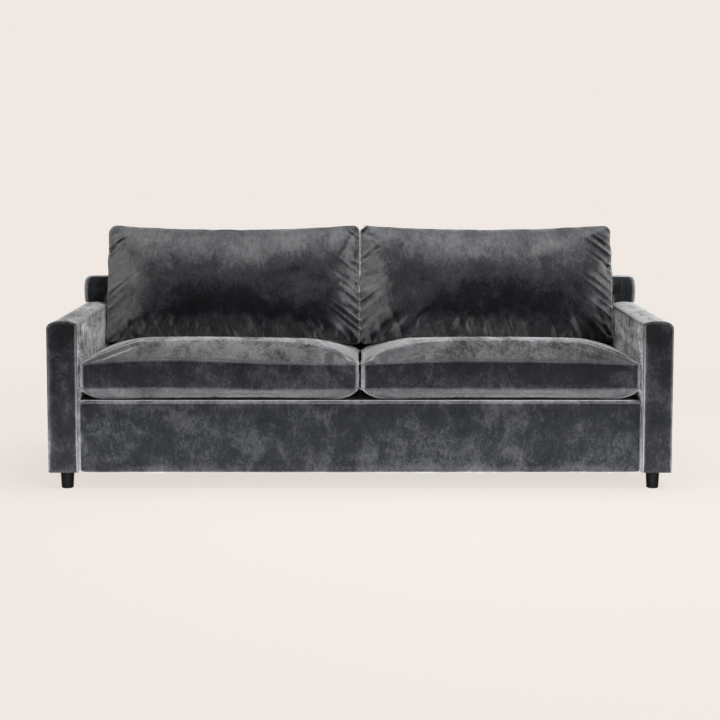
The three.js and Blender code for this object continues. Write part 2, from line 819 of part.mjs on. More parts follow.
function seatForm(centre_x, inset, piped) {
  const place = (u, v, out, z) => {
    const half_a = seat_half_width - inset + out;
    const half_b = seat_half_depth - inset + out;
    const [a, b] = roundedPlace(u, v, half_a, half_b, seat_corner_radius - inset);
    const draw_a = seat_side_draw * (1 - v ** 2) * Math.abs(u) ** 3;
    const draw_b = seat_side_draw * (1 - u ** 2) * Math.abs(v) ** 3;
    const x = centre_x + a - Math.sign(u) * draw_a;
    const y = seat_centre_y + b - Math.sign(v) * draw_b;
    return new THREE.Vector3(x, y, z(x, y));
  };
  const upper_seam = (u, v) => {
    const arch = seat_piping_arch * (1 - u ** 2);
    const sink = seat_side_sink * u ** 4 * ((1 + v) / 2) ** 1.5;
    return seat_bottom + seat_upper_piping + arch - sink - inset;
  };
  const lower_seam = () => seat_bottom + seat_lower_piping + inset;
  const sunk = piped ? piping_radius : 0;
  const upper = (u, v) =>
    place(u, v, -sunk, (x, y) => {
      const crown = upper_seam(u, v) + sunk + seat_crown_rise * dome(u, v, seat_dome_shares);
      const rest = pillow_rest - inset + Math.max(0, pillow_rest_front - y) * seat_front_slope;
      return Math.min(crown, rest);
    });
  const lower = (u, v) =>
    place(u, v, -sunk, () => {
      const near_side = 1 - ((1 - Math.abs(u)) * seat_half_width) / seat_side_band;
      const near_front = 1 - ((1 - Math.abs(v)) * seat_half_depth) / seat_front_band;
      const edge = Math.max(0, near_side, near_front);
      const drop = lower_seam() - sunk - seat_bottom - inset;
      return seat_bottom + inset + drop * edge ** 2;
    });
  const boxing = (u, v) =>
    place(u, v, seat_boxing_bulge, () => (upper_seam(u, v) + lower_seam()) / 2);
  const piping = (seam, out, rise) => (u, v) => place(u, v, out, () => seam(u, v) + rise);
  const rings = piped
    ? [
        piping(upper_seam, piping_radius, 0),
        piping(upper_seam, 0, -piping_radius),
        boxing,
        piping(lower_seam, 0, piping_radius),
        piping(lower_seam, piping_radius, 0),
      ]
    : [boxing];
  return gridSkin(seat_columns, seat_rows, upper, rings, lower);
}

function seatCushion(side, name) {
  const cushion = new THREE.Group();
  const x = side * seat_centre_x;
  const zip_z = seat_bottom + (seat_lower_piping + seat_upper_piping) / 2;
  const zip = block(
    x - zip_length / 2,
    x + zip_length / 2,
    seat_rear - seat_side_draw - 2 * cloth,
    seat_rear + seat_boxing_bulge + cut_overrun,
    zip_z - zip_width / 2,
    zip_z + zip_width / 2,
  );
  const shell = cut(seatForm(x, 0, true), seatForm(x, cloth, false), zip);
  piece(cushion, `${name}_seat_cushion_cover`, velvet, shell);
  piece(cushion, `${name}_seat_cushion_foam`, foam, seatForm(x, cloth + filling_gap, false));
  return cushion;
}

// Back pillow: knife-edged, leaning, flat only against the back's face and on the seat cushion
const pillow_foot_y = backFace(pillow_rest) - pillow_foot_from_back;

function pillowForm(centre_x, inset, seam_inset) {
  const half_width = (arm_inner - pillow_side_gap - pillow_middle_gap) / 2 - seam_inset;
  const half_height = pillow_height / 2 - seam_inset;
  const tilt = THREE.MathUtils.degToRad(pillow_tilt);
  const up = new THREE.Vector3(0, Math.sin(tilt), Math.cos(tilt));
  const front = new THREE.Vector3(0, -Math.cos(tilt), Math.sin(tilt));
  const foot_place = new THREE.Vector3(centre_x, pillow_foot_y, pillow_rest - pillow_foot_sink);
  const centre = foot_place.addScaledVector(up, pillow_height / 2);
  const face = (swell, way) => (u, v) => {
    const [a, b] = roundedPlace(u, v, half_width, half_height, pillow_corner_radius - seam_inset / 2);
    const sag = pillow_sag * (1 - u ** 2) * Math.max(0, v) ** 2;
    const belly = 1 - pillow_dome_shares.low_belly * v;
    const thick = pillow_seam_half + (swell - inset) * dome(u, v, pillow_dome_shares) * belly;
    const point = centre.clone().addScaledVector(up, b - sag).addScaledVector(front, way * thick);
    point.x += a;
    return point;
  };
  const form = gridSkin(seat_columns, seat_rows, face(pillow_front_swell, 1), [], face(pillow_rear_swell, -1));
  const floor = pillow_rest + touch_gap + inset;
  const top = back_height + pillow_height;
  const behind = [
    [backFace(0) - touch_gap - inset, 0],
    [rear_y + pillow_height, 0],
    [rear_y + pillow_height, top],
    [backFace(top) - touch_gap - inset, top],
  ];
  return cut(
    form,
    block(-overall_width, overall_width, front_y, rear_y, 0, floor),
    alongX(outlineOf(behind), -overall_width, overall_width),
  );
}

function backPillow(side, name) {
  const pillow = new THREE.Group();
  const x = side * (pillow_middle_gap + (arm_inner - pillow_side_gap - pillow_middle_gap) / 2);
  const zip_y = pillow_foot_y + pillow_zip_behind_seam;
  const zip = block(
    x - zip_length / 2,
    x + zip_length / 2,
    zip_y - zip_width / 2,
    zip_y + zip_width / 2,
    pillow_rest - cut_overrun,
    pillow_rest + 2 * skin,
  );
  const shell = cut(pillowForm(x, 0, 0), pillowForm(x, cloth, pillow_seam_allowance), zip);
  const filling = pillowForm(x, cloth + filling_gap, pillow_seam_allowance + filling_gap);
  piece(pillow, `${name}_back_pillow_cover`, velvet, shell);
  piece(pillow, `${name}_back_pillow_filling`, fibre, filling);
  return pillow;
}

const sofa = new THREE.Group();
sofa.add(seatBase(), apronAssembly(), backAssembly());
for (const [side, name] of [[-1, 'left'], [1, 'right']]) {
  sofa.add(armAssembly(side, name), seatCushion(side, name), backPillow(side, name));
}

export default sofa;
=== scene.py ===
import json
import math

import bmesh
import bpy
import numpy as np
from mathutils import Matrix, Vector, noise
from mathutils.kdtree import KDTree


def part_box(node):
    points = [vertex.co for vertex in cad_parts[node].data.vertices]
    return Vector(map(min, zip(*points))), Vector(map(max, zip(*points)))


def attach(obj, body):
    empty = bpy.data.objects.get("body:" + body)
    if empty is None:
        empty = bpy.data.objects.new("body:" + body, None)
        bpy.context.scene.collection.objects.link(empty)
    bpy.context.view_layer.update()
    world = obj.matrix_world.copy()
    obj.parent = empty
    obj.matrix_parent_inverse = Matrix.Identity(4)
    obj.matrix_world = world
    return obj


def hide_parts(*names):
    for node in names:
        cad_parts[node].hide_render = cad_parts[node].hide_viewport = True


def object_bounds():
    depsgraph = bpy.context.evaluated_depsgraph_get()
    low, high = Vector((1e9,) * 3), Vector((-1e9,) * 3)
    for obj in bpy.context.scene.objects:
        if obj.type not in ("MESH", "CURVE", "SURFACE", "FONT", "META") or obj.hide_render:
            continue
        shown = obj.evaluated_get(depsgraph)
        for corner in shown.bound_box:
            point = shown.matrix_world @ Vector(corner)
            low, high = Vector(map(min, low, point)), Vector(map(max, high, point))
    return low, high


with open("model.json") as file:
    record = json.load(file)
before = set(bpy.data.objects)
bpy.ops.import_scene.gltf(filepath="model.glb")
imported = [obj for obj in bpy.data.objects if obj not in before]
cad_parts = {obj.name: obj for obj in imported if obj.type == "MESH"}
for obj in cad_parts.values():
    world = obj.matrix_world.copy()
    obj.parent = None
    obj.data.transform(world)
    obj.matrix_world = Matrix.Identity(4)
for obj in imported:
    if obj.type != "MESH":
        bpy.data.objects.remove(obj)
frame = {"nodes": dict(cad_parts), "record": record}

cad_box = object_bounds()

# Camera, fitted to the photograph: straight on, a little above the arms, looking slightly down. The lens
# and the sensor are in millimetres, and the shift is a share of the sensor.
CAMERA_AHEAD = 6.077
CAMERA_HEIGHT = 1.229
CAMERA_DOWN = math.radians(5.21)
CAMERA_LENS = 85.9
CAMERA_SENSOR = 36.0
CAMERA_SHIFT = -0.0803

# Brightness of the studio in front of the sofa and behind it, and where the turn between them lies
WORLD_FRONT = 0.26
WORLD_BEHIND = 0.7
WORLD_BRIGHT_SIDE = (0.9, 0.45, 0.1)
WORLD_TURN = (-0.3, 0.9)

# Floor: its half width, how much of its light on the sofa is its own glow, standing in for light bounced
# off a bright studio floor, and how much dimmer it is drawn near the sofa, between two distances
FLOOR_REACH = 60.0
FLOOR_GLOW = 0.65
FLOOR_NEAR_SHARE = 0.82
FLOOR_NEAR = (1.2, 3.5)

# Colours, as linear red, green and blue. Those in pairs are dark and light.
BACKGROUND = (0.871, 0.815, 0.768)
# The two lightest velvet colours are reached mostly where painted sheen is added to the mottling.
VELVET_COLORS = (
    (0.002, 0.0023, 0.003),
    (0.0065, 0.007, 0.0088),
    (0.034, 0.035, 0.039),
    (0.160, 0.161, 0.166),
)
SHEEN_TINT = (0.94, 0.95, 0.97)
PLYWOOD_COLORS = ((0.30, 0.18, 0.09), (0.56, 0.39, 0.22))
HARDWOOD_COLORS = ((0.25, 0.13, 0.06), (0.47, 0.28, 0.14))
PAINT_COLORS = ((0.0015, 0.0015, 0.0013), (0.004, 0.0037, 0.0033))
FOAM_COLORS = ((0.56, 0.48, 0.28), (0.78, 0.70, 0.47))
FIBRE_COLORS = ((0.62, 0.61, 0.58), (0.86, 0.86, 0.84))
STEEL_COLORS = ((0.20, 0.20, 0.21), (0.42, 0.42, 0.43))
CLOTH_COLORS = ((0.006, 0.006, 0.006), (0.022, 0.022, 0.024))

# Sizes of the grain and the rings of wood and of the threads of cloth
PLYWOOD_GRAIN = (0.03, 0.12, 0.05)
PLYWOOD_RINGS = 0.02
HARDWOOD_GRAIN = (0.2, 0.03, 0.03)
HARDWOOD_RINGS = 0.012
WOOD_PORES = (0.002, 0.03, 0.0015)
CLOTH_THREAD = 0.0022

# Velvet: the sizes of its patterns along x, y and z, from the broadest to the pile, each one's share in the
# whole, where the four colours lie in it, and from which part of it the sheen grows
VELVET_BROAD = (0.30, 0.50, 0.20)
VELVET_PATCH = (0.085, 0.26, 0.075)
VELVET_STROKE = (0.016, 0.05, 0.034)
VELVET_GRAIN = (0.008, 0.024, 0.011)
VELVET_PILE = (0.0028, 0.0028, 0.0040)
VELVET_SHARES = (0.2, 0.32, 0.18, 0.18, 0.12)
VELVET_COLOR_PLACES = (0.36, 0.5, 0.66, 0.9)
VELVET_RUB = 0.004
VELVET_PILE_HEIGHT = 0.0012
VELVET_PILE_STRENGTH = 0.55
VELVET_SPECULAR = 0.06
VELVET_ROUGHNESS = (0.62, 0.9)
VELVET_SHEEN = (0.2, 1.0)
VELVET_SHEEN_FROM = (0.44, 0.57)
VELVET_SHEEN_ROUGHNESS = 0.40

# Painted sheen: how much lighter the velvet's colour and sheen weight are painted where an upright face
# turns a little aside, up or down, standing in for the sheen that such faces catch: strength and sharpness
# for each way, the most that it can come to, and how soon a face no longer counts as level
PAINTED_SHEEN_LEFT = (20.0, 3.0)
PAINTED_SHEEN_RIGHT = (15.0, 4.0)
PAINTED_SHEEN_TOP = (7.5, 3.4)
PAINTED_SHEEN_FOOT = (2.2, 2.0)
PAINTED_SHEEN_MOST = 0.46
PAINTED_SHEEN_LEVEL_POWER = 4.0

# Sizes shared by the upholstery, in metres. TOUCH is the small gap between pieces that rest on each other.
MESH_STEP = 0.009
PIPING_RADIUS = 0.0025
PIPING_SIDES = 10
SEAM_RADIUS = 0.0013
TOUCH = 0.0004

# How far the noise of one seed lies from the noise of the next
NOISE_SHIFT = (7.3, 3.1, 5.9)

# Unevenness of the covers: size of the patches along x, y and z, seed and depth
ARM_FACE_WAVES = ((0.05, 1, 0.09), 2, 0.0012)
ARM_CREASES = ((0.06, 0.020, 0.085), 5, 0.0020)
ARM_FINE_CREASES = ((0.04, 0.020 / 2.4, 0.0425), 9, 0.0010)
ARM_TOP_WAVES = ((0.09, 0.05, 0.1), 4, 0.0016)
ARM_PIPING_ASIDE = ((1, 0.09, 1), 6, 0.0008)
ARM_PIPING_UP = ((1, 0.11, 1), 8, 0.0010)
OUTSIDE_BACK_WAVES = ((0.3, 1, 0.12), 3, 0.0015)
APRON_WAVES = ((0.12, 1, 0.07), 12, 0.0012)

# Arms. A fullness holds the powers that shape a swell. The hem has an inset and a depth for each turn.
ARM_CREST_SHARE = 0.44
ARM_TOP_INSET = 0.005
ARM_CROWN_RISE = 0.009
ARM_SHOULDER_DROP = 0.026
ARM_SHOULDER_TURN = 3.0
ARM_SEAM_STEP = 0.004
ARM_SEAM_DEPTH = 0.0028
ARM_FRONT_PUFF = 0.006
ARM_FRONT_FULLNESS = (2.5, 0.7)
ARM_FRONT_TOP_POWER = 14
ARM_FRONT_FOOT_POWER = 20
ARM_SIDE_PUFF = 0.004
ARM_SIDE_FULLNESS = 0.6
ARM_INNER_PUFF_SHARE = 0.35
ARM_OUTER_FOLD_SHARE = 0.3
ARM_CALM_FRONT = 0.05
ARM_CALM_REAR = 0.03
ARM_FACE_COLUMNS = 18
ARM_FACE_ROWS = 64
ARM_RINGS = 150
ARM_OUTER_SHARE = 0.99
ARM_HEM = ((0.004, 0.0), (0.02, 0.0005))
ARM_HEM_TOP_SHARE = 0.9

# Back. The columns near its ends are counted in corner radii from the end.
BACK_LEAN = math.radians(8.6)
BACK_FOOT_TUCK = 0.004
BACK_FACE_PUFF = 0.003
BACK_TOP_FALL = 0.005
BACK_CORNER_RADIUS = 0.014
BACK_END_DRAW = 0.022
BACK_END_SWELL = 0.004
BACK_END_COLUMNS = (0.0, 0.3, 0.8, 1.5, 2.5, 4.0, 6.0, 8.0)
BACK_BULGE_DEPTH = 0.08
BACK_FACE_COLUMNS = 150
BACK_FACE_ROWS = 40
BACK_RINGS = 22
BACK_RING_SPREAD = 1.3
BACK_HEM = 0.012
BACK_HEM_DEPTH = 0.0006

# Outside back panel. A dome is the powers across and along, and the power of the whole.
OUTSIDE_CORNER = 0.02
OUTSIDE_STEP = 0.016
OUTSIDE_PUFF = 0.005
OUTSIDE_DOME = (12, 8, 0.5)

# Apron
APRON_STEP = 0.012
APRON_EDGE = 0.008
APRON_EDGE_RINGS = 7
APRON_SIDE_SHARES = (0.4, 1.0)
APRON_CORNER = 0.004
APRON_PUFF = 0.005
APRON_DOME = (24, 5, 0.6)

# Seat cushions
SEAT_CORNER_RADIUS = 0.016
SEAT_LOWER_SEAM = 0.044
SEAT_UPPER_SEAM = 0.132
SEAT_SEAM_ARCH = 0.012
SEAT_SIDE_SINK = 0.031
SEAT_SEAM_LEAN = {"left": 0.006, "right": 0.0015}
SEAT_LOWER_LEAN_SHARE = 0.6
SEAT_CROWN = 0.042
SEAT_DOME = (6, 3, 0.45)
SEAT_SIDE_BAND = 0.12
SEAT_FRONT_BAND = 0.045
SEAT_SIDE_DRAW = 0.005
SEAT_END_DRAW = 0.003
SEAT_BAND_RINGS = 11
SEAT_BAND_BULGE = 0.003
SEAT_REST_SLOPE = 0.3
SEAT_REST_DEPTH = 0.195
SEAT_CROWN_TURN = 0.014
SEAT_REST_TURN = 0.010
SEAT_FOOT_TURN = 0.002
SEAT_SEAM_WANDER = 0.0016
SEAT_WANDER_PATCH = (0.09, 0.09, 0.09)
SEAT_SEAM_BAND = 0.012
SEAT_FAN_SLACK = 0.16
SEAT_FAN_REACH = 0.10
SEAT_CLOTH = {"frames": 16, "pressure": 2.5, "bending": 6.0}
SEAT_MOST_SWELL = 0.012
SEAT_SIDE_REACH = 0.0015
SEAT_PIPING_STAND = 0.7
REST_FALL_INNER = 0.017
REST_FALL_OUTER = 0.009
REST_FALL_REACH = 0.11

# Back pillows. Each slack is the most spare cloth and how far it reaches from the seam.
PILLOW_HEIGHT = 0.471
PILLOW_MIDDLE_GAP = 0.0012
PILLOW_MIDDLE_CLEAR = 0.012
PILLOW_MIDDLE_REACH = 0.003
PILLOW_EAR_HEIGHT = 0.14
PILLOW_STEP = 0.008
PILLOW_TILT = math.radians(12)
PILLOW_CORNER_RADIUS = 0.03
PILLOW_FRONT_SWELL = 0.105
PILLOW_REAR_SWELL = 0.098
PILLOW_DOME = (3.2, 3, 0.62)
PILLOW_SAG = 0.019
PILLOW_FOOT_SINK = 0.012
PILLOW_FOOT_FROM_BACK = 0.103
PILLOW_FOOT_TURN = 0.008
PILLOW_BACK_TURN = 0.006
PILLOW_LOW_BELLY = 0.16
PILLOW_TAPER = 0.003
PILLOW_SEAM_WANDER = (0.005, 0.004, 0.0022)
PILLOW_WANDER_PATCH = (0.045, 1, 0.045)
PILLOW_WANDER_REACH = 0.05
PILLOW_START_SHARE = 0.88
PILLOW_CLOTH = {"frames": 28, "pressure": 5.0, "bending": 1.0}
PILLOW_SEAM_BAND = 0.010
PILLOW_SLACK_SIDE = (0.15, 0.08)
PILLOW_SLACK_TOP = (0.04, 0.06)
PILLOW_SLACK_FOOT = (0.15, 0.10)
PILLOW_SLACK_PATCH = (0.07, 1, 0.07)

# Gathers beside the pillow seams: spacing, length, slant on the way from the seam, depth and roundness
GATHER_START = 0.007
GATHER_RIDGE = 0.3
GATHER_SIDE = (0.036, 0.062, 0.7, -0.020, 0.6)
GATHER_FOOT = (0.062, 0.085, -0.45, -0.015, 1.2)
GATHER_TOP = (0.060, 0.035, 0.2, 0.004, 0.6)

# Feet
FOOT_TAPER = 0.0032
FOOT_RIM = 0.0035
FOOT_RIM_STEPS = 6
FOOT_FLAT_SHARE = 0.6
FOOT_TOP_BEVEL = 0.001
FOOT_TOP_STEP = 0.0015
FOOT_TOP_GAP = 0.0003
FOOT_SIDES = 64


# Mesh making

class Shell:
    """The points and faces of a piece while it is made"""

    def __init__(self):
        self.points = []
        self.faces = []
        self.count = 0

    def add(self, points):
        """Takes points in a grid of any shape and gives back their numbers in the same grid"""
        points = np.asarray(points, float)
        numbers = self.count + np.arange(points[..., 0].size).reshape(points.shape[:-1])
        self.points.append(points.reshape(-1, 3))
        self.count += numbers.size
        return numbers

    def weave(self, numbers):
        """Fills a grid of point numbers with four-sided faces"""
        corners = [numbers[:-1, :-1], numbers[1:, :-1], numbers[1:, 1:], numbers[:-1, 1:]]
        self.faces.append(np.stack(corners, -1).reshape(-1, 4))

    def rings(self, loops, closed=True):
        """Joins loops of point numbers, each as long as the next, into a band"""
        band = np.stack(loops)
        self.weave(np.concatenate([band, band[:, :1]], 1) if closed else band)

    def all_points(self):
        return np.concatenate(self.points)

    def all_faces(self):
        return np.concatenate(self.faces)

    def shape(self):
        return self.all_points(), self.all_faces()

    def at(self, numbers):
        """Copies of the points with these numbers"""
        return self.all_points()[numbers]


def xyz(x, y, z):
    """Points from their coordinates, each of them an array or one number for all"""
    return np.stack(np.broadcast_arrays(x, y, z), -1)


def rim_of(numbers):
    """The numbers round the edge of a grid, as one closed loop"""
    return np.concatenate([numbers[:-1, 0], numbers[-1, :-1], numbers[:0:-1, -1], numbers[0, :0:-1]])


def make_mesh(name, points, faces):
    """A smooth mesh with every face turned outward"""
    mesh = bpy.data.meshes.new(name)
    mesh.from_pydata(np.asarray(points).tolist(), [], [list(map(int, face)) for face in faces])
    shape = bmesh.new()
    shape.from_mesh(mesh)
    bmesh.ops.recalc_face_normals(shape, faces=shape.faces)
    shape.to_mesh(mesh)
    shape.free()
    mesh.shade_smooth()
    return mesh


def link(name, data):
    """Puts an object with a mesh, a camera or a light into the scene"""
    thing = bpy.data.objects.new(name, data)
    bpy.context.scene.collection.objects.link(thing)
    return thing


def rows_of(items, attribute):
    """An attribute of each of a mesh's items, in rows of three numbers"""
    values = np.zeros(3 * len(items))
    items.foreach_get(attribute, values)
    return values.reshape(-1, 3)


def make_piece(name, points, faces, body="frame", nodes=(), fill=None, slot="velvet"):
    """A finished piece: its mesh, its finish, the body that it rides on and the nodes that it stands for"""
    piece = link(name, make_mesh(name, points, faces))
    piece.data.materials.append(finishes[slot])
    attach(piece, body)
    if nodes:
        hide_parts(*nodes)
    return piece


def smoothed(points, faces, seams):
    """The points, faces and normals of a shape after one round of smooth subdivision. The seams, given as
    numbers of points, stay sharp."""
    piece = link("rough", make_mesh("rough", points, faces))
    on_seam = np.zeros(len(points), bool)
    on_seam[seams] = True
    ends = np.zeros(2 * len(piece.data.edges), int)
    piece.data.edges.foreach_get("vertices", ends)
    crease = piece.data.attributes.new("crease_edge", "FLOAT", "EDGE")
    crease.data.foreach_set("value", on_seam[ends.reshape(-1, 2)].all(1).astype(float))
    modifier = piece.modifiers.new("rounding", "SUBSURF")
    modifier.levels = modifier.render_levels = 1
    mesh = piece.evaluated_get(bpy.context.evaluated_depsgraph_get()).data
    places = rows_of(mesh.vertices, "co")
    normals = rows_of(mesh.vertex_normals, "vector")
    finer = [tuple(face.vertices) for face in mesh.polygons]
    bpy.data.objects.remove(piece)
    return places, finer, normals


def noise_at(points, sizes, seed):
    """Smooth noise from about -1 to 1 at each point, in patches of the given sizes along x, y and z"""
    shift = Vector(NOISE_SHIFT) * seed
    places = (np.asarray(points).reshape(-1, 3) / np.asarray(sizes)).tolist()
    values = [noise.noise(Vector(place) + shift) for place in places]
    return np.array(values).reshape(np.asarray(points).shape[:-1])


def line_noise(place, size, seed):
    """Noise along a line, in patches of one size"""
    return noise_at(xyz(place, 0, 0), (size, 1, 1), seed)


def ripples(points, pattern):
    """Unevenness at each point, by a pattern's patch sizes, seed and depth"""
    sizes, seed, depth = pattern
    return noise_at(points, sizes, seed) * depth


def ways_out(places, centre, half_sizes, radius):
    """For places along the edge of a rectangle with rounded corners, the way straight out at each"""
    core = np.array(half_sizes) - radius
    ways = places - np.clip(places, np.array(centre) - core, np.array(centre) + core)
    return ways / np.linalg.norm(ways, axis=1)[:, None]


def tube(path, radius, closed):
    """Points and faces of a round tube along a path, with flat ends where it is open"""
    path = np.asarray(path, float)
    if closed:
        along = np.roll(path, -1, 0) - np.roll(path, 1, 0)
    else:
        along = np.gradient(path, axis=0)
    along /= np.linalg.norm(along, axis=1)[:, None]
    aslant = (0.31, 0.52, 0.8)
    side = np.cross(along[0], aslant)
    turns = np.linspace(0, 2 * math.pi, PIPING_SIDES, endpoint=False)
    sections = []
    for place, way in zip(path, along):
        side = side - way * np.dot(side, way)
        side /= np.linalg.norm(side)
        other = np.cross(way, side)
        sections.append(place + radius * (np.outer(np.cos(turns), side) + np.outer(np.sin(turns), other)))
    shell = Shell()
    numbers = shell.add(sections)
    shell.rings(list(numbers) + ([numbers[0]] if closed else []))
    faces = shell.all_faces().tolist()
    if not closed:
        faces += [numbers[0].tolist(), numbers[-1][::-1].tolist()]
    return shell.all_points(), faces


def make_piping(name, path, body="frame", closed=False, radius=PIPING_RADIUS):
    """Piping or a thin seam along a path, as a piece of its own"""
    make_piece(name, *tube(path, radius, closed), body)


# Cloth

def inflate(points, faces, held, slack, frames, pressure, bending):
    """Swells closed cloth by air pressure. Points that are held stay where they are. slack is the share of
    spare cloth at each point, which gathers into folds beside the seams."""
    piece = link("cloth", make_mesh("cloth", points, faces))
    cloth = piece.modifiers.new("cloth", "CLOTH")
    settings = cloth.settings
    settings.quality = 5
    settings.mass = 0.3
    settings.bending_stiffness = bending
    settings.air_damping = 2
    settings.use_pressure = True
    settings.uniform_pressure_force = pressure
    settings.effector_weights.gravity = 0
    cloth.collision_settings.use_collision = False
    most = slack.max()
    for label, weights in (("held", held), ("fitted", 1 - slack / most)):
        group = piece.vertex_groups.new(name=label)
        for index in np.flatnonzero(weights > 0):
            group.add([int(index)], float(weights[index]), "REPLACE")
    settings.vertex_group_mass = "held"
    settings.vertex_group_shrink = "fitted"
    settings.shrink_min = -most
    settings.shrink_max = 0
    cloth.point_cache.frame_start = 1
    cloth.point_cache.frame_end = frames + 1
    for moment in range(1, frames + 1):
        bpy.context.scene.frame_set(moment)
    shaped = piece.evaluated_get(bpy.context.evaluated_depsgraph_get())
    places = rows_of(shaped.data.vertices, "co")
    bpy.data.objects.remove(piece)
    bpy.context.scene.frame_set(1)
    return places


def rounded_grid(half_a, half_b, radius, step=MESH_STEP):
    """Shares u and v from -1 to 1 over a rectangle, and the places a and b with its corners rounded"""
    columns = round(2 * half_a / step)
    rows = round(2 * half_b / step)
    u, v = np.meshgrid(np.linspace(-1, 1, columns + 1), np.linspace(-1, 1, rows + 1), indexing="ij")
    a, b = u * half_a, v * half_b
    into_a = limited((abs(a) - half_a + radius) / radius)
    into_b = limited((abs(b) - half_b + radius) / radius)
    corner = (into_a > 0) & (into_b > 0)
    round_a = np.sign(a) * (half_a - radius + radius * into_a * np.sqrt(1 - into_b ** 2 / 2))
    round_b = np.sign(b) * (half_b - radius + radius * into_b * np.sqrt(1 - into_a ** 2 / 2))
    return u, v, np.where(corner, round_a, a), np.where(corner, round_b, b)


def limited(values):
    """Values held between 0 and 1"""
    return np.clip(values, 0, 1)


def soft_floor(values, floor, softness):
    """Values held above a floor, with a rounded turn where they meet it"""
    above = values - floor
    return floor + (above + np.sqrt(above ** 2 + softness ** 2)) / 2


def dome(u, v, across, along, fullness):
    """A swell from 1 in the middle of a panel to 0 at its edges"""
    return ((1 - abs(u) ** across) * (1 - abs(v) ** along)) ** fullness


# Materials

class NodeTree:
    """The nodes of a material or of the world while they are made"""

    def __init__(self, owner):
        owner.use_nodes = True
        self.nodes = owner.node_tree.nodes
        self.links = owner.node_tree.links

    def node(self, kind, inputs=(), **options):
        node = self.nodes.new("ShaderNode" + kind)
        for name, value in options.items():
            setattr(node, name, value)
        for key, value in dict(inputs).items():
            self.plug(node.inputs[key], value)
        return node

    def plug(self, socket, value):
        """Gives an input its value, or links it to another node's output"""
        if isinstance(value, bpy.types.NodeSocket):
            self.links.new(value, socket)
        else:
            socket.default_value = value

    def math(self, operation, first, second=0.0):
        return self.node("Math", {0: first, 1: second}, operation=operation).outputs["Value"]

    def span(self, value, target, source=(0.0, 1.0), **options):
        """A value moved from one range to another"""
        inputs = {
            "Value": value,
            "From Min": source[0],
            "From Max": source[1],
            "To Min": target[0],
            "To Max": target[1],
        }
        return self.node("MapRange", inputs, **options).outputs["Result"]

    def seen(self, rays):
        """1 for what the camera sees straight, in a reflection or through glass"""
        seen = rays["Is Camera Ray"]
        for kind in ("Is Glossy Ray", "Is Transmission Ray"):
            seen = self.math("MAXIMUM", seen, rays[kind])
        return seen


class Look(NodeTree):
    """A node material while it is made. Patterns follow the piece's own coordinates, in metres."""

    def __init__(self, name, roughness=0.8, metallic=0.0):
        self.material = bpy.data.materials.new(name)
        super().__init__(self.material)
        self.shader = self.nodes["Principled BSDF"]
        self.place = self.node("TexCoord").outputs["Object"]
        self.set("Roughness", roughness)
        self.set("Metallic", metallic)

    def set(self, name, value):
        self.plug(self.shader.inputs[name], value)

    def stretched(self, sizes):
        """Coordinates in which a patch has the given sizes along x, y and z"""
        scale = tuple(1 / size for size in sizes)
        return self.node("Mapping", {"Vector": self.place, "Scale": scale}).outputs["Vector"]

    def noise(self, sizes, detail=2.0, roughness=0.5, distortion=0.0):
        inputs = {
            "Vector": self.stretched(sizes),
            "Scale": 1.0,
            "Detail": detail,
            "Roughness": roughness,
            "Distortion": distortion,
        }
        return self.node("TexNoise", inputs).outputs["Fac"]

    def waves(self, size, direction="X", distortion=0.0):
        inputs = {"Vector": self.place, "Scale": 1 / size, "Distortion": distortion}
        return self.node("TexWave", inputs, bands_direction=direction).outputs["Fac"]

    def facing(self):
        """How far the surface faces along x, y and z"""
        normal = self.node("NewGeometry").outputs["Normal"]
        return self.node("SeparateXYZ", {"Vector": normal}).outputs

    def blend(self, parts):
        """The sum of socket times share"""
        total = None
        for value, share in parts:
            part = self.math("MULTIPLY", value, share)
            total = part if total is None else self.math("ADD", total, part)
        return total

    def color(self, value, colors, places=(0.3, 0.7)):
        """Colours the piece by a value, with each colour at its place in it"""
        node = self.node("ValToRGB", {"Fac": value})
        elements = node.color_ramp.elements
        while len(elements) < len(colors):
            elements.new(0.5)
        for element, place, color in zip(elements, places, colors):
            element.position = place
            element.color = (*color, 1)
        self.set("Base Color", node.outputs["Color"])

    def bump(self, height, distance, strength=1.0, under=None):
        inputs = {"Height": height, "Distance": distance, "Strength": strength}
        if under is not None:
            inputs["Normal"] = under
        return self.node("Bump", inputs).outputs["Normal"]


